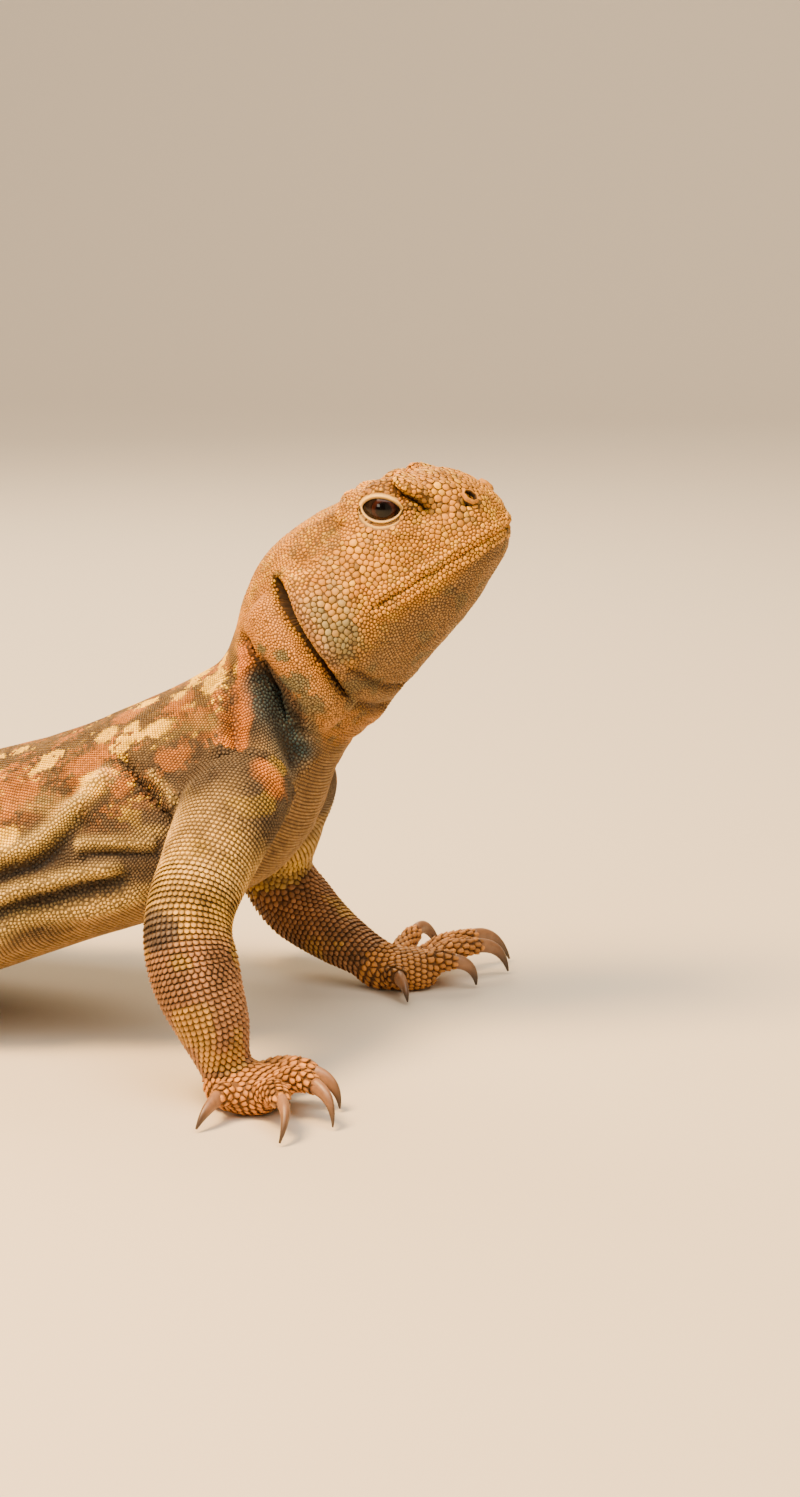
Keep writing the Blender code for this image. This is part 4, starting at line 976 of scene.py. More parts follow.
def lipRoots():
    # rows of small plates that run beside the mouth
    found, pitches = [], []
    for side in (1, -1):
        line = mouthLine(side, 900)
        length = np.concatenate([[0], np.cumsum(np.linalg.norm(np.diff(line, axis=0), axis=1))])
        for offset, pitch in lay["lipRows"]:
            at = np.arange(pitch * 0.5, length[-1] + 1.0, pitch)
            place = np.stack([np.interp(at, length, line[:, k]) for k in range(3)], 1)
            row, angle, _ = bodyPlace(place)
            up = unit(np.cross(plainNormal(row, angle), unit(np.gradient(place, axis=0)))) * side
            found.append(place + up * np.sign(up[:, 2:3]) * offset)
            pitches.append(np.full(len(at), pitch))
    return np.concatenate(found), np.concatenate(pitches)


def partCoats():
    # roots of every length: kind, number of its tube or -1, place along and round it, pitch and point
    lists = []

    def add(kind, number, row, angle, pitch):
        p = bodyPoint(row, angle) if number < 0 else tubePoint(tubes[number], row, angle)
        lists.append((kind, number, row, angle, pitch, p))

    lips, lipPitch = lipRoots()
    row, angle, _ = bodyPlace(lips)
    add("lip", -1, row, angle, lipPitch)
    row, angle, pitch = headRoots(lists[0][5], lipPitch)
    for kind, part in (("head", pitch >= lay["plateFrom"]), ("headFine", pitch < lay["plateFrom"])):
        add(kind, -1, row[part], angle[part], pitch[part])
    trunkEnd, fillStart = [float(tailRow(lay["rows"][kind][1])) for kind in ("trunk", "tailFill")]
    for kind, start, end in (("trunk", lay["headRow"] + 0.06, trunkEnd), ("tailFill", fillStart, lastRow - 0.02)):
        add(kind, -1, *ringRoots(bodyPoint, start, end, lay[kind + "Pitch"], lay["rows"][kind][0]))
    for k, tube in enumerate(tubes):
        rowShare, start = lay["rows"][tube["kind"]]
        pointAt = lambda at, turn, tube=tube: tubePoint(tube, at, turn)
        row, angle, pitch = ringRoots(pointAt, start, len(tube["axis"]) - 1 + 0.001,
                                       lay[tube["kind"] + "Pitch"], rowShare)
        fine = (row < lay["fineRows"]) & (tube["kind"] == "limb")
        for kind, part in (("limbFine", fine), (tube["kind"], ~fine)):
            if part.any():
                add(kind, k, row[part], angle[part], pitch[part])
    return lists


def ownOnly(lists):
    # drops a root that lies inside another length of the animal
    kept = []
    for kind, number, row, angle, pitch, p in lists:
        keep = np.ones(len(p), bool)
        if number >= 0:
            keep &= bodyPlace(p)[2] > -0.25
        low, high = p.min(0), p.max(0)
        for k, tube in enumerate(tubes):
            axis, reach = np.array(tube["axis"]), np.max(tube["radii"]) + 1
            far = (axis.min(0) - reach > high).any() or (axis.max(0) + reach < low).any()
            if k != number and not far:
                keep &= tubePlace(tube, p)[2] > -0.15
        kept.append((kind, number, row[keep], angle[keep], pitch[keep], p[keep]))
    return kept


lists = ownOnly(partCoats())
whorlAt = lay["whorlStart"] + np.concatenate([[0.0], np.cumsum(np.linspace(*lay["whorlPitches"], lay["whorls"] - 1))])


def onSkin(points):
    # each point's nearest place on the skin and the outward direction there, by a Shrinkwrap on bare points
    cloud = toMesh("cloud", points, [])
    wrap = cloud.modifiers.new("wrap", "SHRINKWRAP")
    wrap.target = skin
    wrap.wrap_method = "NEAREST_SURFACEPOINT"
    wrap.wrap_mode = "ABOVE_SURFACE"
    found = []
    for offset in (0.0, 1.0):
        wrap.offset = offset * mm
        bpy.context.view_layer.update()
        mesh = evaluated(cloud)
        found.append(coordinates(mesh))
        bpy.data.meshes.remove(mesh)
    bpy.data.objects.remove(cloud)
    return found[0], unit(found[1] - found[0])


def lieOf(number, row, angle):
    # the direction in which the scales point: back along the trunk, down the limbs
    if number >= 0:
        return tubeFrame(tubes[number], row)[1]
    return unit(bodyPoint(np.minimum(row + 0.05, lastRow), angle) - bodyPoint(np.maximum(row - 0.05, 0), angle))


kindNames = ["lip", "head", "headFine", "trunk", "tailFill", "limbFine", "limb", "sole", "toe"]
roots = dict(zip(("p", "row", "angle", "pitch", "number", "kind", "lie"), map(np.concatenate, zip(*[
    (p, row, angle, pitch, np.full(len(p), number), np.full(len(p), kindNames.index(kind)), lieOf(number, row, angle))
    for kind, number, row, angle, pitch, p in lists]))))
roots["p"], roots["up"] = onSkin(roots["p"])


def openPlaces(p):
    # False where no scale stands: inside the lids, the nostril, the slits and the line of the mouth
    keep = np.ones(len(p), bool)
    for side in (1, -1):
        x, y, z = eyePlane(p, side)
        keep &= ~((lidShare(x, y) < 0.95) & (z > 0))
        keep &= np.linalg.norm(p - sided(face["nostril"], side), axis=1) > 1.3
        for path, _, wide, widest in face["slits"]:
            d, opening = slitPlace(p, path, wide, widest, side)
            keep &= d > opening * 0.86
        keep &= distanceTo(p, mouthLine(side), 4)[0] > 0.3
    return keep


def fillBare(roots):
    # new roots wherever the skin lies bare, with the pitch, lie and kind of the nearest old one
    mesh = skin.data
    ends = np.empty(len(mesh.edges) * 2, np.int32)
    mesh.edges.foreach_get("vertices", ends)
    p = coordinates(mesh)
    p = np.concatenate([p, p[ends.reshape(-1, 2)].mean(1)])
    index, gap = nearest(p, roots["p"])
    bare = (gap > lay["bare"] * roots["pitch"][index]) & (p[:, 2] > 0.5) & openPlaces(p)
    p, index = p[bare], index[bare]
    chosen = spreadOut(p, roots["pitch"][index], 3)
    added = {key: value[index[chosen]] for key, value in roots.items()}
    added["p"] = p[chosen]
    print("added where the skin was bare:", int(chosen.sum()))
    return {key: np.concatenate([roots[key], added[key]]) for key in roots}


def settle(roots):
    # pushes apart along the skin what stands closer than a pitch
    p = roots["p"]
    for step in range(lay["settleSteps"]):
        i, j = nearPairs(p, 1.3)
        move = pushes(p, roots["pitch"], i, j, len(p), 0.95, 0.3)
        move -= roots["up"] * (move * roots["up"]).sum(1, keepdims=True)
        p = p + np.clip(move, -0.22, 0.22)
        if step % 2:
            p, roots["up"] = onSkin(p)
    roots["p"], roots["up"] = onSkin(p)
    return roots


def thinOut(roots):
    # leaves out what stands too close to an earlier root, under the feet, or where the skin stays open
    p, pitch, keep = roots["p"], roots["pitch"], openPlaces(roots["p"])
    i, j = nearPairs(p, 1.0)
    close = np.linalg.norm(p[i] - p[j], axis=1) < lay["tooClose"] * np.minimum(pitch[i], pitch[j])
    keep[i[(j < i) & close & keep[i] & keep[j]]] = False
    keep &= ~((roots["kind"] >= kindNames.index("sole")) & (p[:, 2] < 0.3))
    return {key: value[keep] for key, value in roots.items()}


roots = thinOut(settle(fillBare(thinOut(roots))))
onTrunk = roots["number"] < 0
roots["row"][onTrunk], roots["angle"][onTrunk], _ = bodyPlace(roots["p"][onTrunk])
roots["flat"] = roots["p"].copy()       # places without the folds, by which the markings go
roots["flat"][onTrunk] = bodyPoint(roots["row"][onTrunk], roots["angle"][onTrunk])
roots["degrees"] = fromBack(roots["angle"])
print("roots:", len(roots["p"]))


# The shape of the scales

styleKeys = ("sides", "height", "sunk", "lean", "ring", "fill", "rear", "look", "edge", "band", "skew")
styles = {
    # sides, height and sunk root as shares of the pitch, how far the top leans back, the size of the flat top,
    # how full each scale's own ground is, how much the rear edge stands up, how far neighbours are looked for,
    # how dark the painted shade round the border is, how much of that the borders to the sides are spared, and 1
    # where that turns on the flanks
    kind: dict(zip(styleKeys, values)) for kind, values in {
        "lip": (7, 0.26, 0.45, 0.05, 0.80, 0.97, 0.00, 1.9, 0.50, 0.0, 0),
        "head": (7, 0.11, 0.38, 0.10, 0.84, 0.98, 0.09, 2.6, 0.22, 0.15, 0),
        "headFine": (6, 0.22, 0.20, 0.12, 0.66, 1.0, 0.0, 1.5, 0.34, 0.5, 0),
        "trunk": (6, 0.30, 0.16, 0.14, 0.62, 1.0, 0.0, 1.35, 0.26, 0.85, 1),
        "limbFine": (6, 0.32, 0.18, 0.20, 0.62, 1.0, 0.0, 1.5, 0.28, 0.8, 0),
        "tailFill": (6, 0.24, 0.4, 0.22, 0.66, 0.95, 0.05, 2.6, 0.34, 0.3, 0),
        "limb": (6, 0.28, 0.45, 0.36, 0.68, 0.98, 0.20, 2.0, 0.30, 0.7, 0),
        "sole": (6, 0.26, 0.42, 0.24, 0.70, 0.97, 0.10, 2.2, 0.34, 0.2, 0),
        "toe": (8, 0.28, 0.40, 0.32, 0.66, 0.98, 0.14, 2.3, 0.34, 0.3, 0)}.items()
}
grainFaces = np.array([(0, 1, 6), (1, 7, 6), (1, 2, 7), (2, 3, 7), (3, 8, 7), (3, 4, 8), (4, 5, 8), (5, 6, 8),
                       (5, 0, 6), (6, 7, 8), (0, 5, 4), (0, 4, 3), (0, 3, 2), (0, 2, 1)])


def tangents(up, lie):
    # unit vectors ahead and across in the skin
    across = unit(np.cross(up, lie))
    return np.cross(across, up), across


def beside(roots, x, y, z):
    # points by each root: x ahead, y across and z out of the skin
    ahead, across = tangents(roots["up"], roots["lie"])
    return (roots["p"][:, None] + ahead[:, None] * x[..., None] + across[:, None] * y[..., None]
            + roots["up"][:, None] * z[..., None])


def cellRadii(mine, style):
    # distance from each root to the border of its own ground in evenly spread directions: over the neighbours,
    # the least of (distance^2 + size^2 - other size^2) / (2 * part of the way that lies in that direction)
    p, pitch, sides = roots["p"], roots["pitch"], style["sides"]
    low, high = p[mine].min(0) - style["look"], p[mine].max(0) + style["look"]
    area = np.flatnonzero(((p > low) & (p < high)).all(1))
    chosen = np.zeros(len(p), bool)
    chosen[mine] = True
    i, j = nearPairs(p[area], style["look"])
    own = chosen[area[i]]
    i, j = area[i[own]], area[j[own]]
    order = np.argsort(i, kind="stable")
    i, j = i[order], j[order]
    ahead, across = tangents(roots["up"], roots["lie"])
    away = p[j] - p[i]
    x, y = (away * ahead[i]).sum(1), (away * across[i]).sum(1)
    flat = x**2 + y**2
    steep = (away * roots["up"][i]).sum(1) ** 2 > 2.0 * flat
    top = np.where(steep, 99.0, (flat + (pitch[i] ** 2 - pitch[j] ** 2) * 0.25) / 2)
    starts = firstOfEach(i)
    radii = np.repeat(pitch[:, None] * 0.62, sides, axis=1)
    for k in range(sides):
        turn = 2 * math.pi * k / sides
        along = x * math.cos(turn) + y * math.sin(turn)
        reach = np.where(along > 0.05, top / np.maximum(along, 0.05), 99.0)
        radii[i[starts], k] = np.minimum.reduceat(reach, starts)
    return np.clip(radii, 0.24 * pitch[:, None], 0.86 * pitch[:, None])[mine]


def border(roots, turn, style):
    # painted shade round each scale's border: full ahead and behind, spared to the sides; on the flanks both are
    # turned
    flank = smooth(30, 48, roots["degrees"]) * (1 - smooth(118, 130, roots["degrees"])) * style["skew"]
    turn = turn - (np.round(flank) * math.pi / 3 * np.sign(roots["p"][:, 1]))[:, None]
    return style["edge"] + (0.85 - style["edge"]) * style["band"] * np.sin(turn) ** 2


def grains(roots, radii, style):
    # the small scales of the trunk: a six-sided foot just under the skin and a flat top of three corners
    pitch = roots["pitch"][:, None]
    turn = 2 * math.pi * np.arange(6) / 6
    top = radii[:, ::2] * style["ring"]
    top = (top + radii.mean(1, keepdims=True) * style["ring"]) / 2
    layers = []
    for reach, at, lean, z in ((radii * style["fill"], turn, 0.0, -style["sunk"]),
                               (top, turn[::2], style["lean"], style["height"])):
        layers.append(beside(roots, reach * np.cos(at) + lean * pitch, reach * np.sin(at), z * pitch))
    # painted shade round the foot, a painted highlight on the top
    shade = np.pad(border(roots, turn, style) * 0.85, ((0, 0), (0, 3)), constant_values=1.16)
    return np.concatenate(layers, 1), grainFaces, shade


def stacked(levels, sides):
    # triangles between rings of corners, a fan up to the last point, and one flat fan that closes the lowest ring
    k = np.arange(sides)
    faces = []
    for level in range(levels - 1):
        a, b = level * sides + k, level * sides + (k + 1) % sides
        faces += [np.stack([a, b, b + sides], 1), np.stack([a, b + sides, a + sides], 1)]
    last = (levels - 1) * sides
    faces.append(np.stack([last + k, last + (k + 1) % sides, np.full(sides, levels * sides)], 1))
    faces.append(np.stack([np.zeros(sides - 2, int), k[2:], k[1:-1]], 1))
    return np.concatenate(faces)


def domes(roots, radii, style):
    # each scale: a sunk ring, a rim, a middle ring and a top that leans back, closed below by one flat face
    n, sides = radii.shape
    turn = 2 * math.pi * np.arange(sides) / sides
    c, s = np.cos(turn), np.sin(turn)
    pitch = roots["pitch"][:, None]
    tall, lean = style["height"] * pitch, style["lean"] * pitch
    rear = style["rear"] * pitch * np.maximum(c, 0)
    full = radii * style["fill"]
    rings = ((full * 0.9, 0, -style["sunk"] * pitch + 0 * radii), (full, 0, 0.12 * tall + rear),
             (full * style["ring"], lean * 0.5, 0.86 * tall + rear * 0.8))
    layers = [beside(roots, size * c + shift, size * s, z) for size, shift, z in rings]
    top = beside(roots, lean, 0 * lean, tall + style["rear"] * 0.6 * pitch)
    # painted shade darkest at the sunk ring and round the rim, a painted highlight on the top
    rim = border(roots, turn, style)
    tones = np.concatenate([rim * 0.4, rim, np.ones((n, sides)), np.full((n, 1), 1.12)], 1)
    return np.concatenate(layers + [top], 1), stacked(len(rings), sides), tones


# Colours: what the animal shows, by the place on it

def colour(*parts):
    # screen colour, 0 to 255, to linear light
    c = np.array(parts, float) / 255
    return np.where(c <= 0.04045, c / 12.92, ((c + 0.055) / 1.055) ** 2.4)


palette = {
    # the colours of hollows, the neck's teal, grooves and deep places are painted shade in folds, between scales and
    # in openings; lidGroove is the painted shade between the lids' rolls and, brighter, over the lid; ridge gives the
    # flank pale bands and a painted highlight on the crests of the folds
    "headTan": colour(188, 136, 62), "crown": colour(186, 134, 62), "bead": colour(222, 168, 98),
    "lip": colour(206, 156, 92), "throat": colour(138, 110, 74), "throatGrey": colour(100, 96, 70),
    "flap": colour(178, 128, 74), "flapGrey": colour(104, 100, 74), "tealShade": colour(62, 100, 112),
    "orange": colour(182, 118, 46), "strip": colour(208, 134, 56), "jowl": colour(150, 140, 104),
    "slitEdge": colour(150, 116, 88), "cream": colour(250, 216, 130), "olive": colour(108, 86, 52),
    "dark": colour(54, 38, 24), "flank": colour(86, 73, 56), "hollowShade": colour(56, 54, 54),
    "ridge": colour(230, 204, 146), "belly": colour(140, 114, 76), "bellySpeck": colour(96, 76, 48),
    "armGreen": colour(204, 174, 122), "armTan": colour(206, 170, 108), "forearm": colour(156, 116, 84),
    "elbow": colour(58, 54, 58), "hand": colour(194, 140, 92), "thigh": colour(138, 106, 66),
    "tail": colour(128, 104, 70), "tailBand": colour(84, 62, 40), "tailSpine": colour(178, 148, 98),
    "grooveShade": colour(58, 34, 20), "deep": colour(24, 14, 9),
    "lid": colour(232, 200, 142), "lidGroove": colour(92, 62, 38),
}
tint = {"stronger": 1.10, "brightStronger": 0.55, "darker": 0.88, "least": 0.004}


def richer(c):
    # the view transform fades colours, so they are mixed stronger: away from their own grey, and darker
    grey = c @ np.array([0.2126, 0.7152, 0.0722])
    stronger = tint["stronger"] + tint["brightStronger"] * grey
    return np.maximum((grey + (c - grey) * stronger) * tint["darker"], tint["least"])


palette = {name: richer(value) for name, value in palette.items()}
palette["lidShade"] = palette["lidGroove"] * 1.9
# spots of the trunk: row, degrees from the back, size in millimetres
creamSpots = [(11.1, 34, 2.6), (10.4, 48, 1.6), (12.8, 42, 2.7), (14.3, 56, 2.4), (15.3, 31, 1.7), (14.0, 26, 2.2),
              (11.8, 6, 2.4), (13.1, 10, 1.8), (10.8, 20, 1.9), (15.9, 66, 2.2), (13.4, 30, 1.6), (12.2, 22, 1.8)]
orangePath = [(9.7, 50), (10.3, 58), (10.7, 66), (11.0, 76), (11.6, 90), (11.6, 104)]
orangeSpots = [(11.6, 101, 3.4), (10.85, 72, 2.8), (14.3, 42, 3.6), (15.8, 43, 4.4), (13.6, 16, 3.0),
               (12.2, 30, 2.6), (12.7, 64, 2.6), (16.6, 30, 4.0)]
greySpots = [(8.75, 98, 3.0), (8.9, 112, 3.2), (8.5, 84, 1.8), (8.9, 70, 1.5), (9.3, 90, 1.6)]
jowlGreys = [(7.0, 100, 3.4), (6.6, 96, 2.2)]
headRusts = [(6.7, 74, 2.6), (5.9, 84, 1.8), (4.6, 16, 3.0)]
# painted shade in the hollows and creases of the folds and a painted highlight on their ridges:
# the colour that each fold takes, how strongly, and how wide as a share of the fold's own width
foldShadeAndLight = {"sideHollow": ("hollowShade", 0.84, 1.05), "lowHollow": ("hollowShade", 0.75, 1.05),
             "neckHollow": ("tealShade", 0.95, 1.5), "armCrease": ("dark", 0.45, 0.7), "armRidge": ("ridge", 0.45, 0.6),
             "sideRidge": ("ridge", 0.75, 0.85), "lowRidge": ("ridge", 0.55, 0.85),
             "bellyRidge": ("ridge", 0.45, 0.8),
             "sidePatch": ("ridge", 0.45, 0.9), "flapRear": ("dark", 0.5, 0.8), "earCrease": ("dark", 0.35, 0.8),
             "flankFold": ("hollowShade", 0.6, 1.1), "flankFoldRidge": ("ridge", 0.4, 0.9),
             "sidePatchHollow": ("hollowShade", 0.5, 1.0), "flapGroove": ("hollowShade", 0.4, 1.0)}


def mixed(tone, other, share):
    share = np.clip(share, 0, 1)[:, None]
    return tone * (1 - share) + other * share


def painted(p, base, coats):
    # one colour of the palette all over, then each of the coats by its share
    tone = np.broadcast_to(palette[base], p.shape).copy()
    for name, share in coats:
        tone = mixed(tone, palette[name], share)
    return tone


def ownNumber(p, seed):
    # a number for every cube of half a millimetre, so that neighbouring scales differ
    return hashed(np.floor(p / 0.5).astype(np.int64) + 500, seed)


def spotted(p, spots, seed):
    # 1 inside rough-edged spots, on both sides of the trunk
    share = np.zeros(len(p))
    rough = 0.30 + 0.75 * clouds(p, 2.2, seed) + 0.35 * clouds(p, 0.9, seed + 7) + 0.3 * ownNumber(p, seed)
    for row, degrees, size in spots:
        for side in (1, -1):
            d = np.linalg.norm(p - bodyPoint(row, math.radians(degrees) * side), axis=1)
            share = np.maximum(share, 1 - smooth(0.75, 1.1, d / size / rough))
    return share


def trunkTones(p, row, degrees):
    wave, grit = clouds(p, 9.0, 31) - 0.5, ownNumber(p, 101)
    backward = smooth(10.2, 11.0, row) * (1 - smooth(54, 84, degrees + 40 * wave))
    field = smooth(0.51, 0.63, clouds(p, 4.5, 21) * 0.40 + clouds(p, 1.5, 22) * 0.35 + grit * 0.25)
    near, between, number = patches(p * (1, 1, 1.15), 8.0, 40)
    size, large = 0.16 + 0.20 * number, number > 0.3
    rim = 0.55 * (clouds(p, 1.3, 23) - 0.5) + 0.22 * (grit - 0.5)
    flecks, _, fleck = patches(p * (1, 1, 1.3), 3.2, 45)
    side = smooth(40, 60, degrees) * (1 - smooth(112, 132, degrees))
    below = smooth(106, 132, degrees + 24 * wave)
    return painted(p, "olive", [
        ("flank", smooth(34, 62, degrees + 26 * wave)),
        # the back's rust-coloured fields, the dark net between them, cream spots with dark edges, and flecks
        ("orange", field * backward * (0.78 - 0.40 * smooth(20, 27, row))),
        ("dark", 0.5 * (1 - smooth(0.03, 0.16, between + 0.1 * (grit - 0.5))) * backward),
        ("dark", 0.7 * (1 - smooth(0.0, 0.12, near + rim - size - 0.07)) * backward * large),
        ("cream", 0.95 * (1 - smooth(-0.02, 0.04, near + rim - size)) * backward * large),
        ("cream", 0.6 * (1 - smooth(0.12, 0.22, flecks + rim * 0.5)) * backward * (fleck > 0.5)),
        # the flank: brown scale rows that pale and darken in oblique bands; below it the belly
        ("ridge", 0.35 * smooth(0.55, 0.8, clouds(p * (1, 1, 2.2), 7, 51)) * side),
        ("dark", 0.30 * smooth(0.5, 0.8, clouds(p * (1, 1, 2.0), 5, 52)) * side),
        ("belly", below),
        ("bellySpeck", 0.55 * smooth(0.60, 0.74, clouds(p, 1.7, 53)) * below),
        ("throat", 0.7 * (1 - smooth(11.4, 12.4, row)) * smooth(84, 100, degrees)),
        ("orange", spotted(p, orangeSpots, 61) * 0.65),
        ("cream", spotted(p, creamSpots, 62) * 0.95),
    ])


def eyeCoats(p, side):
    # painted shade over the lid and in the creases of the brow
    x, y, z = eyePlane(p, side)
    over = smooth(-0.4, 0.6, z) * smooth(-0.4, 0.8, y) * (1 - smooth(0.85, 1.05, np.hypot(x / 5.6, y / 3.7)))
    coats = [("lidShade", 0.5 * over)]
    for name, strength in (("crease", 0.62), ("corner", 0.5), ("corner2", 0.5), ("behind", 0.4)):
        path, _, wide, inward = face["browFolds"][name]
        d, _, window = browPlace(p, path, inward, side)
        coats.append(("dark", strength * bell(d / wide) * window))
    return coats


def headTones(p, row, degrees, pitch):
    pale = clouds(p, 1.6, 74) * 0.6 + ownNumber(p, 104) * 0.4
    grey = clouds(p, 1.9, 75) * 0.7 + ownNumber(p, 105) * 0.3
    jowl = bell((row - 6.85) / 0.75, 4) * smooth(64, 80, degrees) * (1 - smooth(104, 116, degrees))
    edge = bell((row - 7.42) / 0.22) * smooth(56, 70, degrees) * (1 - smooth(112, 124, degrees))
    flap = smooth(7.8, 8.2, row) * (1 - smooth(9.6, 10.1, row)) * smooth(30, 48, degrees)
    below = smooth(98, 122, degrees + 20 * (clouds(p, 6, 72) - 0.5))
    return painted(p, "headTan", [
        ("crown", 0.85 * (1 - smooth(26, 60, degrees)) * (1 - smooth(6.5, 8.5, row))),
        ("bead", 0.65 * smooth(0.95, 1.15, pitch) * smooth(5.2, 5.9, row)),
        ("dark", 0.38 * smooth(0.54, 0.76, clouds(p, 2.4, 71)) * (1 - smooth(40, 90, degrees))),
        ("cream", 0.34 * smooth(0.52, 0.8, pale)),
        ("flapGrey", 0.45 * smooth(0.55, 0.8, grey)),
        ("flapGrey", 0.7 * spotted(p, jowlGreys, 64)),
        ("orange", 0.35 * spotted(p, headRusts, 65)),
        *eyeCoats(p, 1), *eyeCoats(p, -1),
        ("jowl", jowl * (0.15 + 0.8 * ownNumber(p, 103))),
        ("slitEdge", 0.75 * edge),
        ("flap", flap * 0.95),
        ("flapGrey", 0.95 * spotted(p, greySpots, 63) * flap),
        ("throat", below * (1 - 0.55 * flap)),
        ("throatGrey", 0.6 * smooth(0.55, 0.75, clouds(p, 1.9, 73)) * below),
    ])


def limbTones(p, number, row):
    tube = tubes[number]
    if tube["kind"] != "limb":
        return painted(p, "hand", [("dark", 0.35 * smooth(0.55, 0.8, clouds(p, 2.2, 84)))])
    arm, axis = tube["name"].startswith("arm"), np.array(tube["axis"])
    cloud = clouds(p, 7.0, 85) - 0.5
    coats = [("armGreen" if arm else "thigh", smooth(1.2, 2.2, row + 0.9 * cloud)),
             ("armTan", smooth(2.1, 3.2, row - 1.2 * cloud)),
             ("forearm", smooth(2.9, 3.6, row)),
             ("dark", 0.4 * smooth(0.55, 0.75, clouds(p, 3.0, 81))),
             ("cream", (0.2 if arm else 0.5) * smooth(0.66, 0.78, clouds(p, 4.0, 82)))]
    if arm:      # the orange stripe of the shoulder ends on the front of the arm
        away = np.linalg.norm((p - axis[1] - (6.0, 1.0, 5.0)) / (1.0, 1.0, 1.5), axis=1)
        coats.append(("strip", 0.8 * (1 - smooth(1.6, 4.0, away + 2.4 * (clouds(p, 1.8, 86) - 0.5)))))
    outer = np.linalg.norm((p - axis[3] - (-3.6, 5.6 * np.sign(axis[3][1]), 0.6)) / (4.6, 4.6, 3.4), axis=1)
    joint = 1 - smooth(0.7, 1.15, outer + 0.5 * clouds(p, 2.5, 83) - 0.2)
    # a band of painted shade in the crease at the elbow, and a dark grey patch on the outside of the elbow
    coats += [("dark", 0.45 * bell((row - 2.75) / 0.16)), ("elbow", 0.85 * joint * (1.0 if arm else 0.5))]
    return painted(p, "flank", coats)


def tailTones(p, degrees):
    return painted(p, "tail", [("tailBand", 0.5 * smooth(0.42, 0.62, clouds(p * (1.6, 0.8, 0.8), 9, 91))),
                               ("belly", 0.8 * smooth(96, 126, degrees))])


def markings(roots):
    # the colour of every scale, and with it of the skin beneath
    tone = np.zeros((len(roots["p"]), 3))
    for number in np.unique(roots["number"]):
        mine = roots["number"] == number
        p, row, degrees = [roots[key][mine] for key in ("p", "row", "degrees")]
        if number >= 0:
            tone[mine] = limbTones(p, number, row)
            continue
        made = mixed(headTones(p, row, degrees, roots["pitch"][mine]), trunkTones(p, row, degrees),
                     smooth(9.5, 10.3, row + 0.6 * (clouds(p, 3, 95) - 0.5)))
        made = mixed(made, tailTones(p, degrees), smooth(23.2, 25.2, row + 1.2 * (clouds(p, 6, 96) - 0.5)))
        tone[mine] = mixed(made, palette["lip"], (roots["kind"][mine] == kindNames.index("lip")) * 0.75)
    p, trunk = roots["flat"], roots["number"] < 0
    for side in (1, -1):
        d, _ = distanceTo(p, foldPath(orangePath, side), 8)
        strip = (1 - smooth(1.2, 2.6, d + 1.6 * (clouds(p, 2.0, 97) - 0.5))) * trunk
        tone = mixed(tone, palette["strip"], 0.85 * strip)
        # painted shade in the folds' hollows and creases, a painted highlight on their ridges
        for name, (word, strength, wider) in foldShadeAndLight.items():
            path, _, width = folds[name]
            d, share = distanceTo(p, foldPath(path, side), 9)
            tone = mixed(tone, palette[word], strength * bell(d / (width * wider)) * bothEnds(share, 0.12) * trunk)
    return tone


# unevenness of single scales, a few dim ones, and painted light and shade: creases painted dark as in shade, crests
# painted pale as if lit, with broad mottling
unevenAndFoldShade = {"from": 0.80, "spread": 0.40, "dimShare": 0.06, "dim": 0.35,
        "low": -0.62, "high": 0.30, "slope": 0.34, "mottle": 0.55}
rng = np.random.default_rng(5)
roots["tone"] = markings(roots) * (unevenAndFoldShade["from"] + unevenAndFoldShade["spread"] * rng.random(len(roots["p"])))[:, None]
dim = (rng.random(len(roots["p"])) < unevenAndFoldShade["dimShare"]) * unevenAndFoldShade["dim"]
# painted shade and light by the skin's folds: scales in its creases darker, on its crests paler
inFold = moved[nearest(roots["p"], coordinates(skin.data))[0]]
shade = 1 + np.clip(unevenAndFoldShade["slope"] * inFold, unevenAndFoldShade["low"], unevenAndFoldShade["high"])
shade *= 1 + unevenAndFoldShade["mottle"] * (clouds(roots["p"], 4.5, 98) * 0.6 + clouds(roots["p"], 1.8, 99) * 0.4 - 0.5)
roots["tone"] = roots["tone"] * ((1 - dim) * shade)[:, None]


def unwrapPlace(number, row, angle):
    # the trunk fills the lower half of the map, each limb, sole and toe a cell of the upper half
    round01 = (np.asarray(angle) / (2 * math.pi)) % 1.0
    cell = np.maximum(number, 0)
    spans = np.array([len(tube["axis"]) - 1 for tube in tubes], float)
    u = np.where(number < 0, 0.01 + 0.98 * row / lastRow, (cell % 7 + 0.04 + 0.92 * row / spans[cell]) / 7)
    v = np.where(number < 0, 0.01 + 0.47 * round01, 0.5 + (cell // 7 + 0.04 + 0.92 * round01) / 8)
    return np.stack([u, v], 1)


def toneAttribute(piece, tones):
    attribute = piece.data.color_attributes.new("tone", "FLOAT_COLOR", "POINT")
    attribute.data.foreach_set("color", np.concatenate([tones, np.ones((len(tones), 1))], 1)
                               .astype(np.float32).ravel())


coatPieces = []
patch = 0.0014        # half the width of a scale's own patch on the map


def coatPiece(name, points, faces, tones, places):
    # points is scales x corners x 3; on the map, each scale's corners wind round its own place in a small spiral
    n, m = points.shape[:2]
    points[..., 2] = np.maximum(points[..., 2], 0.02)
    corner = (faces[None] + m * np.arange(n)[:, None, None]).reshape(-1, 3)
    piece = toMesh(name, points.reshape(-1, 3), corner)
    toneAttribute(piece, tones.reshape(-1, 3))
    reach = np.linalg.norm(points - points.mean(1, keepdims=True), axis=2)[..., None]
    turn = np.arange(m) * 2.39996
    local = np.stack([np.cos(turn), np.sin(turn)], -1)[None] * reach / reach.max(1, keepdims=True)
    uv = (places[:, None] + local * patch).reshape(-1, 2)
    layer = piece.data.uv_layers.new(name="OFBake")
    layer.data.foreach_set("uv", np.clip(uv[corner.ravel()], 0, 1).astype(np.float32).ravel())
    coatPieces.append(piece)


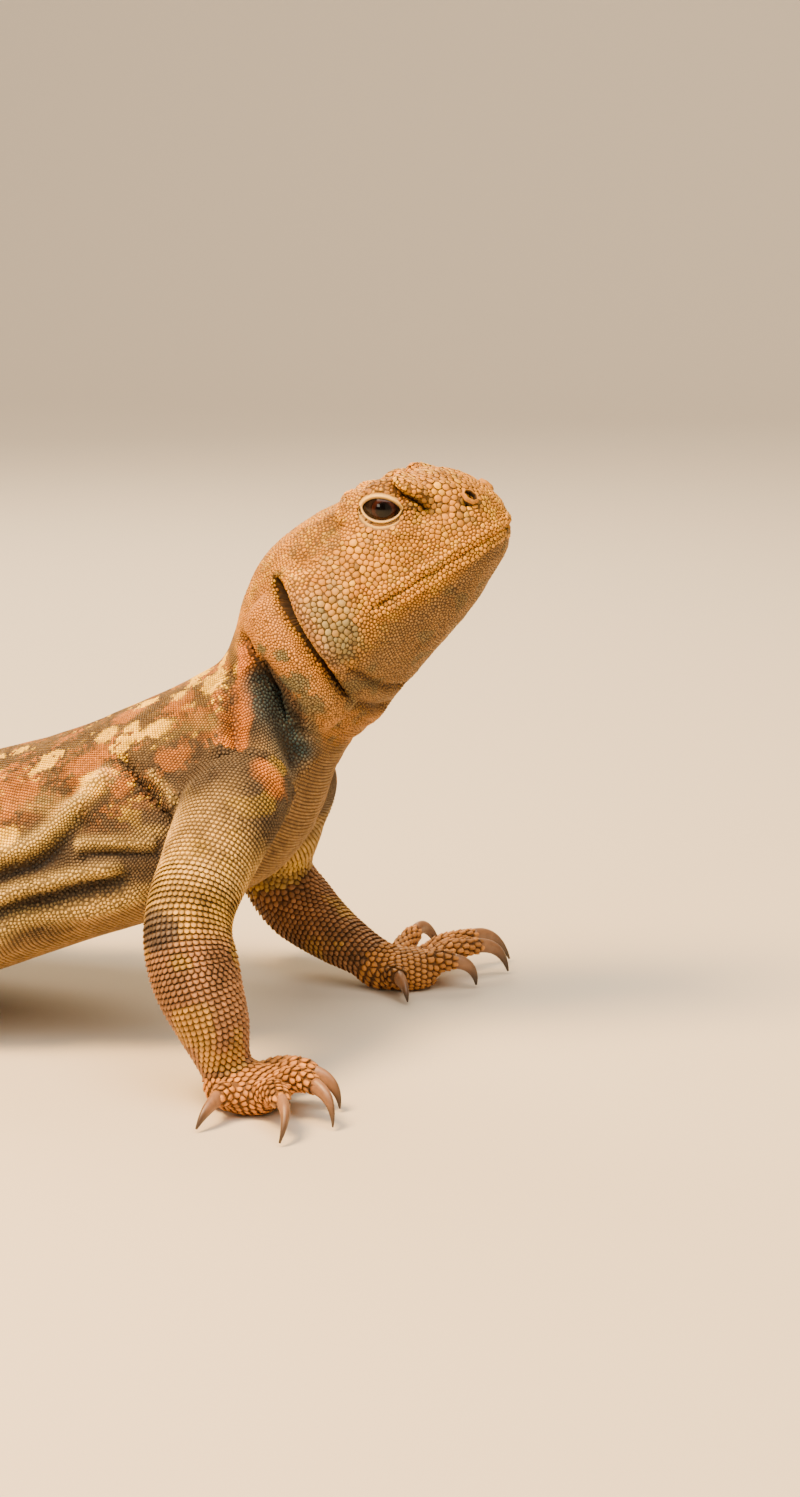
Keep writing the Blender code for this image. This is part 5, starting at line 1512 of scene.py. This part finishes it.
def makeCoat():
    # scales of one style become one piece, parted where it would pass the limit of triangles
    most = 185000
    for index, kind in enumerate(kindNames):
        mine = np.flatnonzero(roots["kind"] == index)
        radii = cellRadii(mine, styles[kind])
        order = np.argsort(roots["number"][mine] * 1000 + roots["row"][mine], kind="stable")
        chosen = {key: value[mine[order]] for key, value in roots.items()}
        make = grains if kind in ("trunk", "headFine", "limbFine") else domes
        points, faces, shade = make(chosen, radii[order], styles[kind])
        # painted shade between the scales: each darkens towards its border and takes on the grooves' dark brown there
        grooveShade = 1 - 0.75 * (1 - np.minimum(shade, 1))
        tones = chosen["tone"][:, None] * (shade * grooveShade)[..., None]
        tones += palette["grooveShade"] * (1 - grooveShade)[..., None] * 0.5
        places = unwrapPlace(chosen["number"], chosen["row"], chosen["angle"])
        pieces = math.ceil(len(points) * len(faces) / most)
        for k, part in enumerate(np.array_split(np.arange(len(points)), pieces)):
            name = f"scales_{kind}" + (f"_{k + 1}" if pieces > 1 else "")
            coatPiece(name, points[part], faces, tones[part], places[part])
            print(name, len(part), "scales", len(part) * len(faces), "triangles")


makeCoat()


# The tail's whorls of spiny plates

scute = {"sides": 12, "square": 0.55, "overlap": 1.06, "gap": 0.96, "height": 0.171875, "sunk": 0.9, "arch": 0.10,
         # rings from the foot up: size, shift along the plate, height in keels, tone (painted shade at the foot, a
         # painted highlight up towards the spine), share of the spine's colour
         "rings": [(0.94, 0.0, None, 0.30, 0.0), (1.0, 0.0, 0.12, 0.55, 0.0), (0.80, 0.02, 0.72, 0.92, 0.0),
                   (0.42, 0.16, 1.25, 1.1, 0.25), (0.16, 0.62, 1.5, 1.25, 0.8)]}


def whorlPlates():
    # where each plate stands, its directions, its length and width, its spine, its place on the map and its colour
    rows, pitches = [], np.gradient(whorlAt)
    (mostPlates, leastPlates), (shortest, longest) = lay["spineCounts"], lay["spineLengths"]
    for k, distance in enumerate(whorlAt):
        row = float(tailRow(distance))
        share = k / (lay["whorls"] - 1)
        count = round(mostPlates + (leastPlates - mostPlates) * share)
        place = 2 * np.arange(count) / (count - 1) - 1
        turn = np.radians(lay["spineSpread"]) * place
        ring = bodyPoint(np.full(240, row), np.linspace(0, 2 * math.pi, 240))
        girth = np.linalg.norm(np.diff(ring, axis=0), axis=1).sum()
        at = np.full(count, row)
        p = bodyPoint(at, turn)
        uneven = 1 + 0.08 * np.sin(12.9 * k + 7.3 * np.arange(count))
        wide = girth * lay["spineSpread"] / 180 / count * scute["gap"]
        spine = shortest + (longest - shortest) * np.sin(np.abs(place) * math.pi / 2)
        rows.append((p, plainNormal(at, turn), unit(bodyPoint(at + 0.05, turn) - p),
                     np.full(count, pitches[k] * scute["overlap"]), np.full(count, wide),
                     spine * (1 + (lay["spineTipSize"] - 1) * share) * uneven,
                     unwrapPlace(np.full(count, -1), at, turn),
                     tailTones(p, np.degrees(np.abs(turn))) * (0.85 + 0.3 * rng.random(count))[:, None]))
    return dict(zip(("p", "up", "lie", "long", "wide", "spine", "place", "tone"), map(np.concatenate, zip(*rows))))


def makeWhorls():
    # every plate is a rounded oblong with a keel that rises to a spine; the spines grow towards the sides
    plates = whorlPlates()
    long, wide, spine = [plates[key][:, None] for key in ("long", "wide", "spine")]
    sides = scute["sides"]
    turn = 2 * math.pi * np.arange(sides) / sides
    c, s = np.cos(turn), np.sin(turn)
    boxX, boxY = [np.sign(v) * np.abs(v) ** scute["square"] / 2 for v in (c, s)]
    lean = math.radians(lay["spineLean"])
    tipX, tipZ = spine * math.cos(lean), spine * math.sin(lean)
    keel = scute["height"] * wide
    arch = -(boxY * 2) ** 2 * wide * scute["arch"]
    layers = []
    for size, shift, height, *_ in scute["rings"]:
        top = size < 0.3
        x = boxX * long * size + (tipX if top else long) * shift
        z = keel * height if height else -scute["sunk"] + 0 * keel
        z = z + tipZ * 0.5 if top else z + arch * size
        z = z + (0.18 * np.maximum(c, 0) * keel if size > 0.95 else 0)
        layers.append(beside(plates, x, boxY * wide * size, z + 0 * x))
    points = np.concatenate(layers + [beside(plates, tipX, 0 * tipX, tipZ + keel * 0.3)], 1)
    # painted shade darkest at each plate's foot, growing paler towards the spine
    shades, spiny = [np.append(np.repeat([ring[k] for ring in scute["rings"]], sides), end)[None, :, None]
                     for k, end in ((3, 0.9), (4, 1.0))]
    tones = (plates["tone"][:, None] * (1 - spiny) + palette["tailSpine"] * spiny) * shades
    coatPiece("scales_whorls", points, stacked(len(layers), sides), tones, plates["place"])


makeWhorls()


# Colour of the skin, from the scales that stand on it

def colourSkin():
    # the colour of the nearest scale, darkened as painted shade between the scales, and painted deep shade where the
    # face is open
    p = coordinates(skin.data)
    tone = roots["tone"][nearest(p, roots["p"])[0]] * 0.30
    coats = [("grooveShade", np.full(len(p), 0.25))]
    for side in (1, -1):
        coats.append(("deep", 0.9 * bell(distanceTo(p, mouthLine(side), 4)[0] / 0.6)))
        for path, _, wide, widest in face["slits"]:
            d, opening = slitPlace(p, path, wide, widest, side)
            coats.append(("deep", 0.97 * bell(np.minimum(d / (opening * 1.1), 9), 4)))
        x, y, z = eyePlane(p, side)
        coats.append(("deep", (almondShare(x, y) < 1.3) * (z > 0) * 0.9))
        coats.append(("deep", 0.95 * bell(np.linalg.norm(p - sided(face["nostril"], side), axis=1) / 1.3, 4)))
    for name, share in coats:
        tone = mixed(tone, palette[name], share)
    toneAttribute(skin, tone)


colourSkin()


# Eyelids, eyes and nostrils

lids = {"around": 120, "across": 24, "sink": 0.25, "wall": 0.9,
        # rolls of the upper and the lower lid: place between gap and edge, width, height
        "rolls": {1: [(0.46, 0.30, 0.42)], -1: [(0.22, 0.15, 0.40), (0.64, 0.12, 0.16)]}}
eyeball = {"rings": 60, "sides": 72, "bulge": 0.05, "bulgeReach": 0.42, "forward": 0.16,
           # screen colours, and how far from the pole of the ball each begins or ends, in millimetres
           "around": (34, 24, 18), "rear": (20, 13, 9), "rearFrom": (2.2, 3.4),
           "iris": (46, 20, 12), "irisEnd": (1.9, 2.1), "ring": (14, 8, 6), "ringPlace": (2.05, 0.16),
           "pupil": (5, 3, 3), "pupilEnd": (1.15, 1.35)}
nostril = {"sides": 44, "steps": 46, "long": (0.88, 0.0, -0.47), "oval": (1.12, 0.84), "lift": 0.12,
           # radius and height, from the bottom of the pit over the rim to the closed foot
           "profile": [(0.02, -1.6), (0.52, -1.3), (0.66, -0.6), (0.72, -0.05), (0.84, 0.30), (1.0, 0.38),
                       (1.16, 0.24), (1.28, -0.05), (1.30, -0.8), (0.9, -1.8), (0.02, -1.9)]}


def surfaceOut(x, y, side):
    # how far out of the eye's plane the skin lies over (x, y): the four nearest of its own points, weighted
    gx, gy, gz = eyeGround[side]
    d = (x.ravel()[:, None] - gx) ** 2 + (y.ravel()[:, None] - gy) ** 2
    best = np.argpartition(d, 3, axis=1)[:, :4]
    weight = 1 / (np.take_along_axis(d, best, 1) + 1e-3)
    return ((gz[best] * weight).sum(1) / weight.sum(1)).reshape(x.shape)


def lidRolls(turn, share, power=1.0):
    # height of the rolls over the lid: the upper and the lower lid's own, parted at the corners
    above = smooth(-0.12, 0.12, np.sin(turn))
    total = 0.0
    for which, weight in ((1, above), (-1, 1 - above)):
        for place, width, height in lids["rolls"][which]:
            total = total + weight * height**power * np.exp(-((share - place) / width) ** 2)
    return total


def lidPoint(turn, share, side):
    # from the gap's edge on the eyeball to the skin around it, with the rolls on it
    along, up, down = face["lidReach"]
    gap, edge = almond(turn, (0.0, 0.0)), almond(turn, (along, np.where(np.sin(turn) > 0, up, down)))
    x, y = gap[0] + (edge[0] - gap[0]) * share, gap[1] + (edge[1] - gap[1]) * share
    ball = np.sqrt(np.maximum((face["eyeRadius"] + 0.12) ** 2 - x**2 - y**2, 0.4))
    blend = smooth(0.25, 1.0, share)
    z = ball * (1 - blend) + np.maximum(surfaceOut(*edge, side), ball - 0.6) * blend
    beads = 0.05 * np.abs(np.sin(turn * 24 + share * 3)) * smooth(0.1, 0.3, share)
    return x, y, z + lidRolls(turn, share) + beads - lids["sink"] * smooth(0.85, 1.0, share)


def makeLids(side, word):
    # the lids as one band round the gap, closed below by a wall at either edge
    turn, share = np.broadcast_arrays(turns(lids["around"])[None, :], np.linspace(0, 1, lids["across"])[:, None])
    centre, along, up, out = eyeFrame(side)
    rings = np.stack(lidPoint(turn, share, side), -1)
    wall = (0, 0, lids["wall"])
    rings = np.concatenate([(rings[0] - wall)[None], rings, (rings[-1] - wall)[None]])
    world = centre + rings[..., :1] * along + rings[..., 1:2] * up + rings[..., 2:] * out
    count, sides = world.shape[:2]
    i, j = np.meshgrid(np.arange(count), np.arange(sides), indexing="ij")
    after, following = (i + 1) % count * sides, (j + 1) % sides
    quads = np.stack([i * sides + j, i * sides + following, after + following, after + j], -1).reshape(-1, 4)
    piece = toMesh(f"eyelids_{word}", world.reshape(-1, 3), quads)
    fixOutward(piece)
    # the lids' own pale colour on the rolls with painted shade in the grooves between them, painted shade along the
    # outer edge and painted deep shade where the lids meet the ball
    s = np.concatenate([[0.0], share[:, 0], [1.0]])[:, None]
    light = 1.7 * lidRolls(turn[:1], s, 0.5)
    rim, gap = [np.broadcast_to(value, light.shape).ravel()
                for value in (smooth(0.78, 0.92, s), 1 - smooth(0.02, 0.10, s))]
    tone = painted(world.reshape(-1, 3), "lidGroove", [("lid", light.ravel())])
    tone = mixed(tone, palette["headTan"] * 0.3, rim)
    toneAttribute(piece, mixed(tone, palette["deep"], gap * 0.9))
    return piece


def makeEye(side, word):
    # a ball with its pole in the gap between the lids; the colour goes by the distance from that pole
    polar = np.linspace(0, math.pi, eyeball["rings"] + 1)[1:-1]
    turn = turns(eyeball["sides"])
    centre, along, _, out = eyeFrame(side)
    gaze = unit(out + along * eyeball["forward"])
    level = unit(np.cross(gaze, (0.0, 0.0, 1.0)))
    r = face["eyeRadius"]
    rings = (gaze * np.cos(polar)[:, None, None] + level * (np.sin(polar)[:, None] * np.cos(turn))[..., None]
             + np.cross(level, gaze) * (np.sin(polar)[:, None] * np.sin(turn))[..., None])
    bulge = 1 + eyeball["bulge"] * bell(polar / eyeball["bulgeReach"])[:, None, None]
    p, f = loft(centre + rings * r * bulge)
    p[-2], p[-1] = centre + gaze * r * (1 + eyeball["bulge"]), centre - gaze * r
    piece = toMesh(f"eyeball_{word}", p, f)
    fixOutward(piece)
    away = unit(p - centre)
    d = np.arccos(np.clip(away @ gaze, -1, 1)) * r
    streaks = 0.6 + 0.8 * clouds(away * 9, 1.0, 7)[:, None]
    place, wide = eyeball["ringPlace"]
    tone = np.broadcast_to(colour(*eyeball["around"]), p.shape).copy()
    for name, uneven, share in (("rear", 1, smooth(*eyeball["rearFrom"], d)),
                                ("iris", streaks, 1 - smooth(*eyeball["irisEnd"], d)),
                                ("ring", 1, bell((d - place) / wide) * 0.8),
                                ("pupil", 1, 1 - smooth(*eyeball["pupilEnd"], d))):
        tone = mixed(tone, colour(*eyeball[name]) * uneven, share)
    toneAttribute(piece, tone)
    return piece


def makeNostril(side, word):
    # a raised ring with a pit in it: radius and height along a bent profile, turned round the hole's axis
    row, angle, _ = bodyPlace(sided(face["nostril"], side)[None])
    at, out = bodyPoint(row, angle)[0], plainNormal(row, angle)[0]
    long = np.array(nostril["long"])
    long = unit(long - out * (long @ out))
    short = np.cross(out, long)
    profile = spline(nostril["profile"], np.linspace(0, len(nostril["profile"]) - 1, nostril["steps"]))
    radius, height = profile[:, :1], profile[:, 1:]
    turn = turns(nostril["sides"])
    wave = 1 + 0.05 * np.sin(turn * 7 + 1)
    x = radius * (1 + 0.22 * smooth(1.4, 0.6, radius)) * np.cos(turn) * nostril["oval"][0] * wave
    y = radius * np.sin(turn) * nostril["oval"][1] * wave
    rings = at + long * x[..., None] + short * y[..., None] + out * (height + nostril["lift"] + 0 * x)[..., None]
    piece = toMesh(f"nostril_{word}", *loft(rings))
    fixOutward(piece)
    # painted deep shade in the pit, the head's tan on the rim
    tone = mixed(np.broadcast_to(palette["deep"], (len(profile), 3)), palette["headTan"] * 0.9,
                 smooth(0.70, 1.05, radius[:, 0]) * (height[:, 0] > -0.4))
    toneAttribute(piece, np.concatenate([np.repeat(tone, nostril["sides"], axis=0), tone[:1], tone[-1:]]))
    return piece


lidPieces, eyePieces, nostrilPieces = [[make(side, word) for side, word in ((1, "left"), (-1, "right"))]
                                       for make in (makeLids, makeEye, makeNostril)]


# Claws

claw = {"radius": 1.3, "tip": 0.18, "taper": 1.6, "flat": 0.74, "arch": 0.55, "rings": 20, "sides": 16, "sunk": 0.7,
        "ease": 0.4, "root": (140, 100, 70), "end": (48, 32, 24), "floor": 0.05}


def makeClaws(foot):
    # each claw follows a quadratic curve from the toe's end to its tip, narrower than deep, and thins evenly
    parts, tones = [], []
    t = np.linspace(0, 1, claw["rings"])[:, None]
    for toe in foot["toes"]:
        axis, tip = np.array(toe[:3]), np.array(toe[3])
        ahead = unit(axis[2] - spline(axis, np.array([1.9]))[0])
        control = axis[2] + ahead * claw["arch"] * np.linalg.norm(tip - axis[2])
        path = (1 - t) ** 2 * (axis[2] - ahead * claw["sunk"]) + 2 * t * (1 - t) * control + t**2 * tip
        thick = claw["radius"] + (claw["tip"] - claw["radius"]) * t ** claw["taper"]
        tube = {"axis": path, "radii": np.concatenate([thick * claw["flat"], thick], 1), "ease": claw["ease"]}
        p, f = loft(tubeRings(tube, claw["rings"], claw["sides"]))
        p[:, 2] = np.maximum(p[:, 2], claw["floor"])
        parts.append((p, f))
        share = np.concatenate([np.repeat(t[:, 0], claw["sides"]), [0, 1]])
        tone = mixed(np.broadcast_to(colour(*claw["root"]), p.shape), colour(*claw["end"]), smooth(0.2, 0.95, share))
        tones.append(tone * (0.8 + 0.4 * clouds(p * (2.5, 2.5, 1), 1.0, 9))[:, None])
    piece = toMesh(f"claws_{foot['node']}", *joined(parts))
    fixOutward(piece)
    toneAttribute(piece, np.concatenate(tones))
    return piece


clawPieces = {name: makeClaws(foot) for name, foot in feet.items()}
print("face and claws made")


# Materials

def group(name, inputs, outputs):
    tree = bpy.data.node_groups.new(name, "ShaderNodeTree")
    for direction, sockets in (("INPUT", inputs), ("OUTPUT", outputs)):
        for label, kind, value in sockets:
            socket = tree.interface.new_socket(name=label, in_out=direction, socket_type="NodeSocket" + kind)
            if value is not None:
                socket.default_value = value
    return tree, tree.nodes.new("NodeGroupInput"), tree.nodes.new("NodeGroupOutput")


def link(tree, *pairs):
    for start, end in pairs:
        tree.links.new(start, end)


def calculate(tree, operation, *values):
    # a Math node fed with numbers or with other nodes' outputs
    node = tree.nodes.new("ShaderNodeMath")
    node.operation = operation
    for socket, value in zip(node.inputs, values):
        if isinstance(value, (int, float)):
            socket.default_value = value
        else:
            tree.links.new(value, socket)
    return node.outputs[0]


grit = {"fineDetail": 3, "broadScale": 130, "broadDetail": 2, "broadMottle": 0.35, "roughness": 0.3,
        "dust": (214, 188, 150)}


def hornyGrain():
    # fine mottling of colour, dust in broad patches and a rough height for all that is scale, skin or horn
    tree, start, end = group("hornyGrain", [
        ("Tone", "Color", (0.5, 0.4, 0.3, 1)), ("Mottle Size", "Float", 900.0), ("Mottle", "Float", 0.25),
        ("Dust", "Float", 0.12), ("Gloss", "Float", 0.5)], [
        ("Color", "Color", None), ("Roughness", "Float", None), ("Height", "Float", None)])
    nodes = tree.nodes
    place = nodes.new("ShaderNodeTexCoord")
    fine, broad = nodes.new("ShaderNodeTexNoise"), nodes.new("ShaderNodeTexNoise")
    fine.inputs["Detail"].default_value = grit["fineDetail"]
    broad.inputs["Scale"].default_value = grit["broadScale"]
    broad.inputs["Detail"].default_value = grit["broadDetail"]
    link(tree, (place.outputs["Object"], fine.inputs["Vector"]), (start.outputs["Mottle Size"], fine.inputs["Scale"]),
         (place.outputs["Object"], broad.inputs["Vector"]))
    sways = []
    for noise, amount in ((fine, start.outputs["Mottle"]), (broad, grit["broadMottle"])):
        centred = calculate(tree, "SUBTRACT", noise.outputs["Fac"], 0.5)
        sways.append(calculate(tree, "ADD", calculate(tree, "MULTIPLY", centred, amount), 1.0))
    scaled = nodes.new("ShaderNodeVectorMath")
    scaled.operation = "SCALE"
    link(tree, (start.outputs["Tone"], scaled.inputs[0]),
         (calculate(tree, "MULTIPLY", *sways), scaled.inputs["Scale"]))
    dusty = nodes.new("ShaderNodeMix")
    dusty.data_type = "RGBA"
    dusty.inputs["B"].default_value = (*colour(*grit["dust"]), 1)
    dust = calculate(tree, "MULTIPLY", broad.outputs["Fac"], start.outputs["Dust"])
    rough = calculate(tree, "MULTIPLY", fine.outputs["Fac"], grit["roughness"])
    link(tree, (dust, dusty.inputs["Factor"]), (scaled.outputs[0], dusty.inputs["A"]),
         (dusty.outputs["Result"], end.inputs["Color"]), (fine.outputs["Fac"], end.inputs["Height"]),
         (calculate(tree, "ADD", rough, start.outputs["Gloss"]), end.inputs["Roughness"]))
    return tree


grain = hornyGrain()


def material(name, settings):
    made = bpy.data.materials.new(name)
    made.use_nodes = True
    tree = made.node_tree
    shader = tree.nodes["Principled BSDF"]
    tone = tree.nodes.new("ShaderNodeAttribute")
    tone.attribute_name = "tone"
    effect = tree.nodes.new("ShaderNodeGroup")
    effect.node_tree = grain
    for label in ("Mottle Size", "Mottle", "Dust", "Gloss"):
        effect.inputs[label].default_value = settings[label]
    bump = tree.nodes.new("ShaderNodeBump")
    bump.inputs["Strength"].default_value = settings["bump"]
    bump.inputs["Distance"].default_value = settings["depth"]
    shader.inputs["Specular IOR Level"].default_value = settings["specular"]
    shader.inputs["Coat Weight"].default_value = settings["coat"]
    shader.inputs["Coat Roughness"].default_value = 0.03
    link(tree, (tone.outputs["Color"], effect.inputs["Tone"]), (effect.outputs["Color"], shader.inputs["Base Color"]),
         (effect.outputs["Roughness"], shader.inputs["Roughness"]), (effect.outputs["Height"], bump.inputs["Height"]),
         (bump.outputs["Normal"], shader.inputs["Normal"]))
    return made


finishKeys = ("Mottle Size", "Mottle", "Dust", "Gloss", "bump", "depth", "specular", "coat")
finishes = {name: material(name, dict(zip(finishKeys, values))) for name, values in {
    "skinHide": (1400, 0.5, 0.05, 0.55, 0.5, 0.0002, 0.25, 0.0),
    "scaleHorn": (1900, 0.35, 0.03, 0.40, 0.35, 0.00008, 0.24, 0.0),
    "lidSkin": (2200, 0.25, 0.04, 0.38, 0.4, 0.0001, 0.4, 0.0),
    "clawHorn": (800, 0.4, 0.06, 0.24, 0.25, 0.0001, 0.5, 0.0),
    "wetEye": (2500, 0.1, 0.0, 0.02, 0.0, 0.0001, 0.1, 0.3),
}.items()}
for piece, finish in ([(skin, "skinHide")] + [(p, "scaleHorn") for p in coatPieces]
                      + [(p, "lidSkin") for p in lidPieces + nostrilPieces]
                      + [(p, "wetEye") for p in eyePieces] + [(p, "clawHorn") for p in clawPieces.values()]):
    piece.data.materials.clear()
    piece.data.materials.append(finishes[finish])


# What each piece stands for

fleshNodes = ["head", "neck", "torso_front", "torso_rear", *[f"tail_{k}" for k in (1, 2, 3, 4)],
              *[node for limb in limbs.values() for node in limb["nodes"]], *[foot["node"] for foot in feet.values()]]
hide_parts(*fleshNodes)
for piece, word in zip(eyePieces, ("left", "right")):
    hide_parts(f"eye_{word}")
for name, piece in clawPieces.items():
    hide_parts(*[f"claw_{feet[name]['node']}_{k}" for k in (1, 2, 3, 4, 5)])
for piece in [skin, *coatPieces, *lidPieces, *eyePieces, *nostrilPieces, *clawPieces.values()]:
    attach(piece, "root")


# Floor, light and camera

studio = {"floor": (220, 210, 192), "sky": (236, 220, 192), "skyStrength": 0.13,
          "sweepStart": 900.0, "sweepRadius": 700.0, "sweepHeight": 2600.0, "near": -2500.0, "half": 3500.0,
          "azimuth": 12.0, "elevation": 12.0, "distance": 550.0, "aim": (0.0, 0.0, 48.2), "pixelsPerMm": 6.2,
          "photoHeight": 1497, "sensor": 36.0,
          # place, aim, size in metres, watts, colour
          "lamps": {"glint": ((-259, -521, 270), (-30, 0, 45), 0.14, 0.8, (255, 240, 218)),
                    "key": ((-230, -230, 540), (-30, 0, 45), 0.20, 11.2, (255, 200, 126)),
                    "fill": ((460, -560, 200), (-30, 0, 45), 0.60, 0.8, (255, 222, 180)),
                    "rim": ((-260, 460, 420), (-30, 0, 45), 0.40, 3.6, (255, 228, 190)),
                    "backdrop": ((100, -400, 1500), (0, 1400, 300), 1.60, 48.0, (255, 240, 222))}}


def toEuler(back):
    # the turn of a lamp or camera that looks away from the direction given
    return Vector(back).to_track_quat("Z", "Y").to_euler()


def makeStudio():
    # a floor that bends up behind the animal along a quarter circle, so no edge of it shows
    bend = np.linspace(0, math.pi / 2, 24)
    r = studio["sweepRadius"]
    y = np.concatenate([[studio["near"]], studio["sweepStart"] + r * np.sin(bend), [studio["sweepStart"] + r]])
    z = np.concatenate([[0.0], r * (1 - np.cos(bend)), [studio["sweepHeight"]]]) - 0.02
    left, right = [np.stack([np.full(len(y), side * studio["half"]), y, z], 1) for side in (-1, 1)]
    k = np.arange(len(y) - 1)
    floor = toMesh("floor", np.concatenate([left, right]), np.stack([k, k + len(y), k + len(y) + 1, k + 1], 1))
    paint = bpy.data.materials.new("floorPaint")
    paint.use_nodes = True
    shader = paint.node_tree.nodes["Principled BSDF"]
    shader.inputs["Base Color"].default_value = (*colour(*studio["floor"]), 1)
    shader.inputs["Roughness"].default_value = 0.9
    floor.data.materials.append(paint)
    world = bpy.data.worlds.new("studio")
    world.use_nodes = True
    sky = world.node_tree.nodes["Background"]
    sky.inputs["Color"].default_value = (*colour(*studio["sky"]), 1)
    sky.inputs["Strength"].default_value = studio["skyStrength"]
    bpy.context.scene.world = world
    for name, (place, aim, size, power, glow) in studio["lamps"].items():
        lamp = bpy.data.lights.new(name, "AREA")
        lamp.size, lamp.energy, lamp.color = size, power, colour(*glow)
        holder = bpy.data.objects.new(name, lamp)
        holder.location = (np.array(place) - zero) * mm
        holder.rotation_euler = toEuler(-unit(np.array(aim, float) - np.array(place)))
        bpy.context.scene.collection.objects.link(holder)


def makeCamera():
    a, e = math.radians(studio["azimuth"]), math.radians(studio["elevation"])
    back = np.array([math.sin(a) * math.cos(e), -math.cos(a) * math.cos(e), math.sin(e)])
    data = bpy.data.cameras.new("camera")
    data.sensor_width = studio["sensor"]
    data.lens = studio["sensor"] * studio["distance"] * studio["pixelsPerMm"] / studio["photoHeight"]
    data.clip_start, data.clip_end = 0.01, 20
    camera = bpy.data.objects.new("camera", data)
    camera.location = (np.array(studio["aim"]) + back * studio["distance"] - zero) * mm
    camera.rotation_euler = toEuler(back)
    bpy.context.scene.collection.objects.link(camera)
    bpy.context.scene.camera = camera


makeStudio()
makeCamera()
print("studio and camera set")
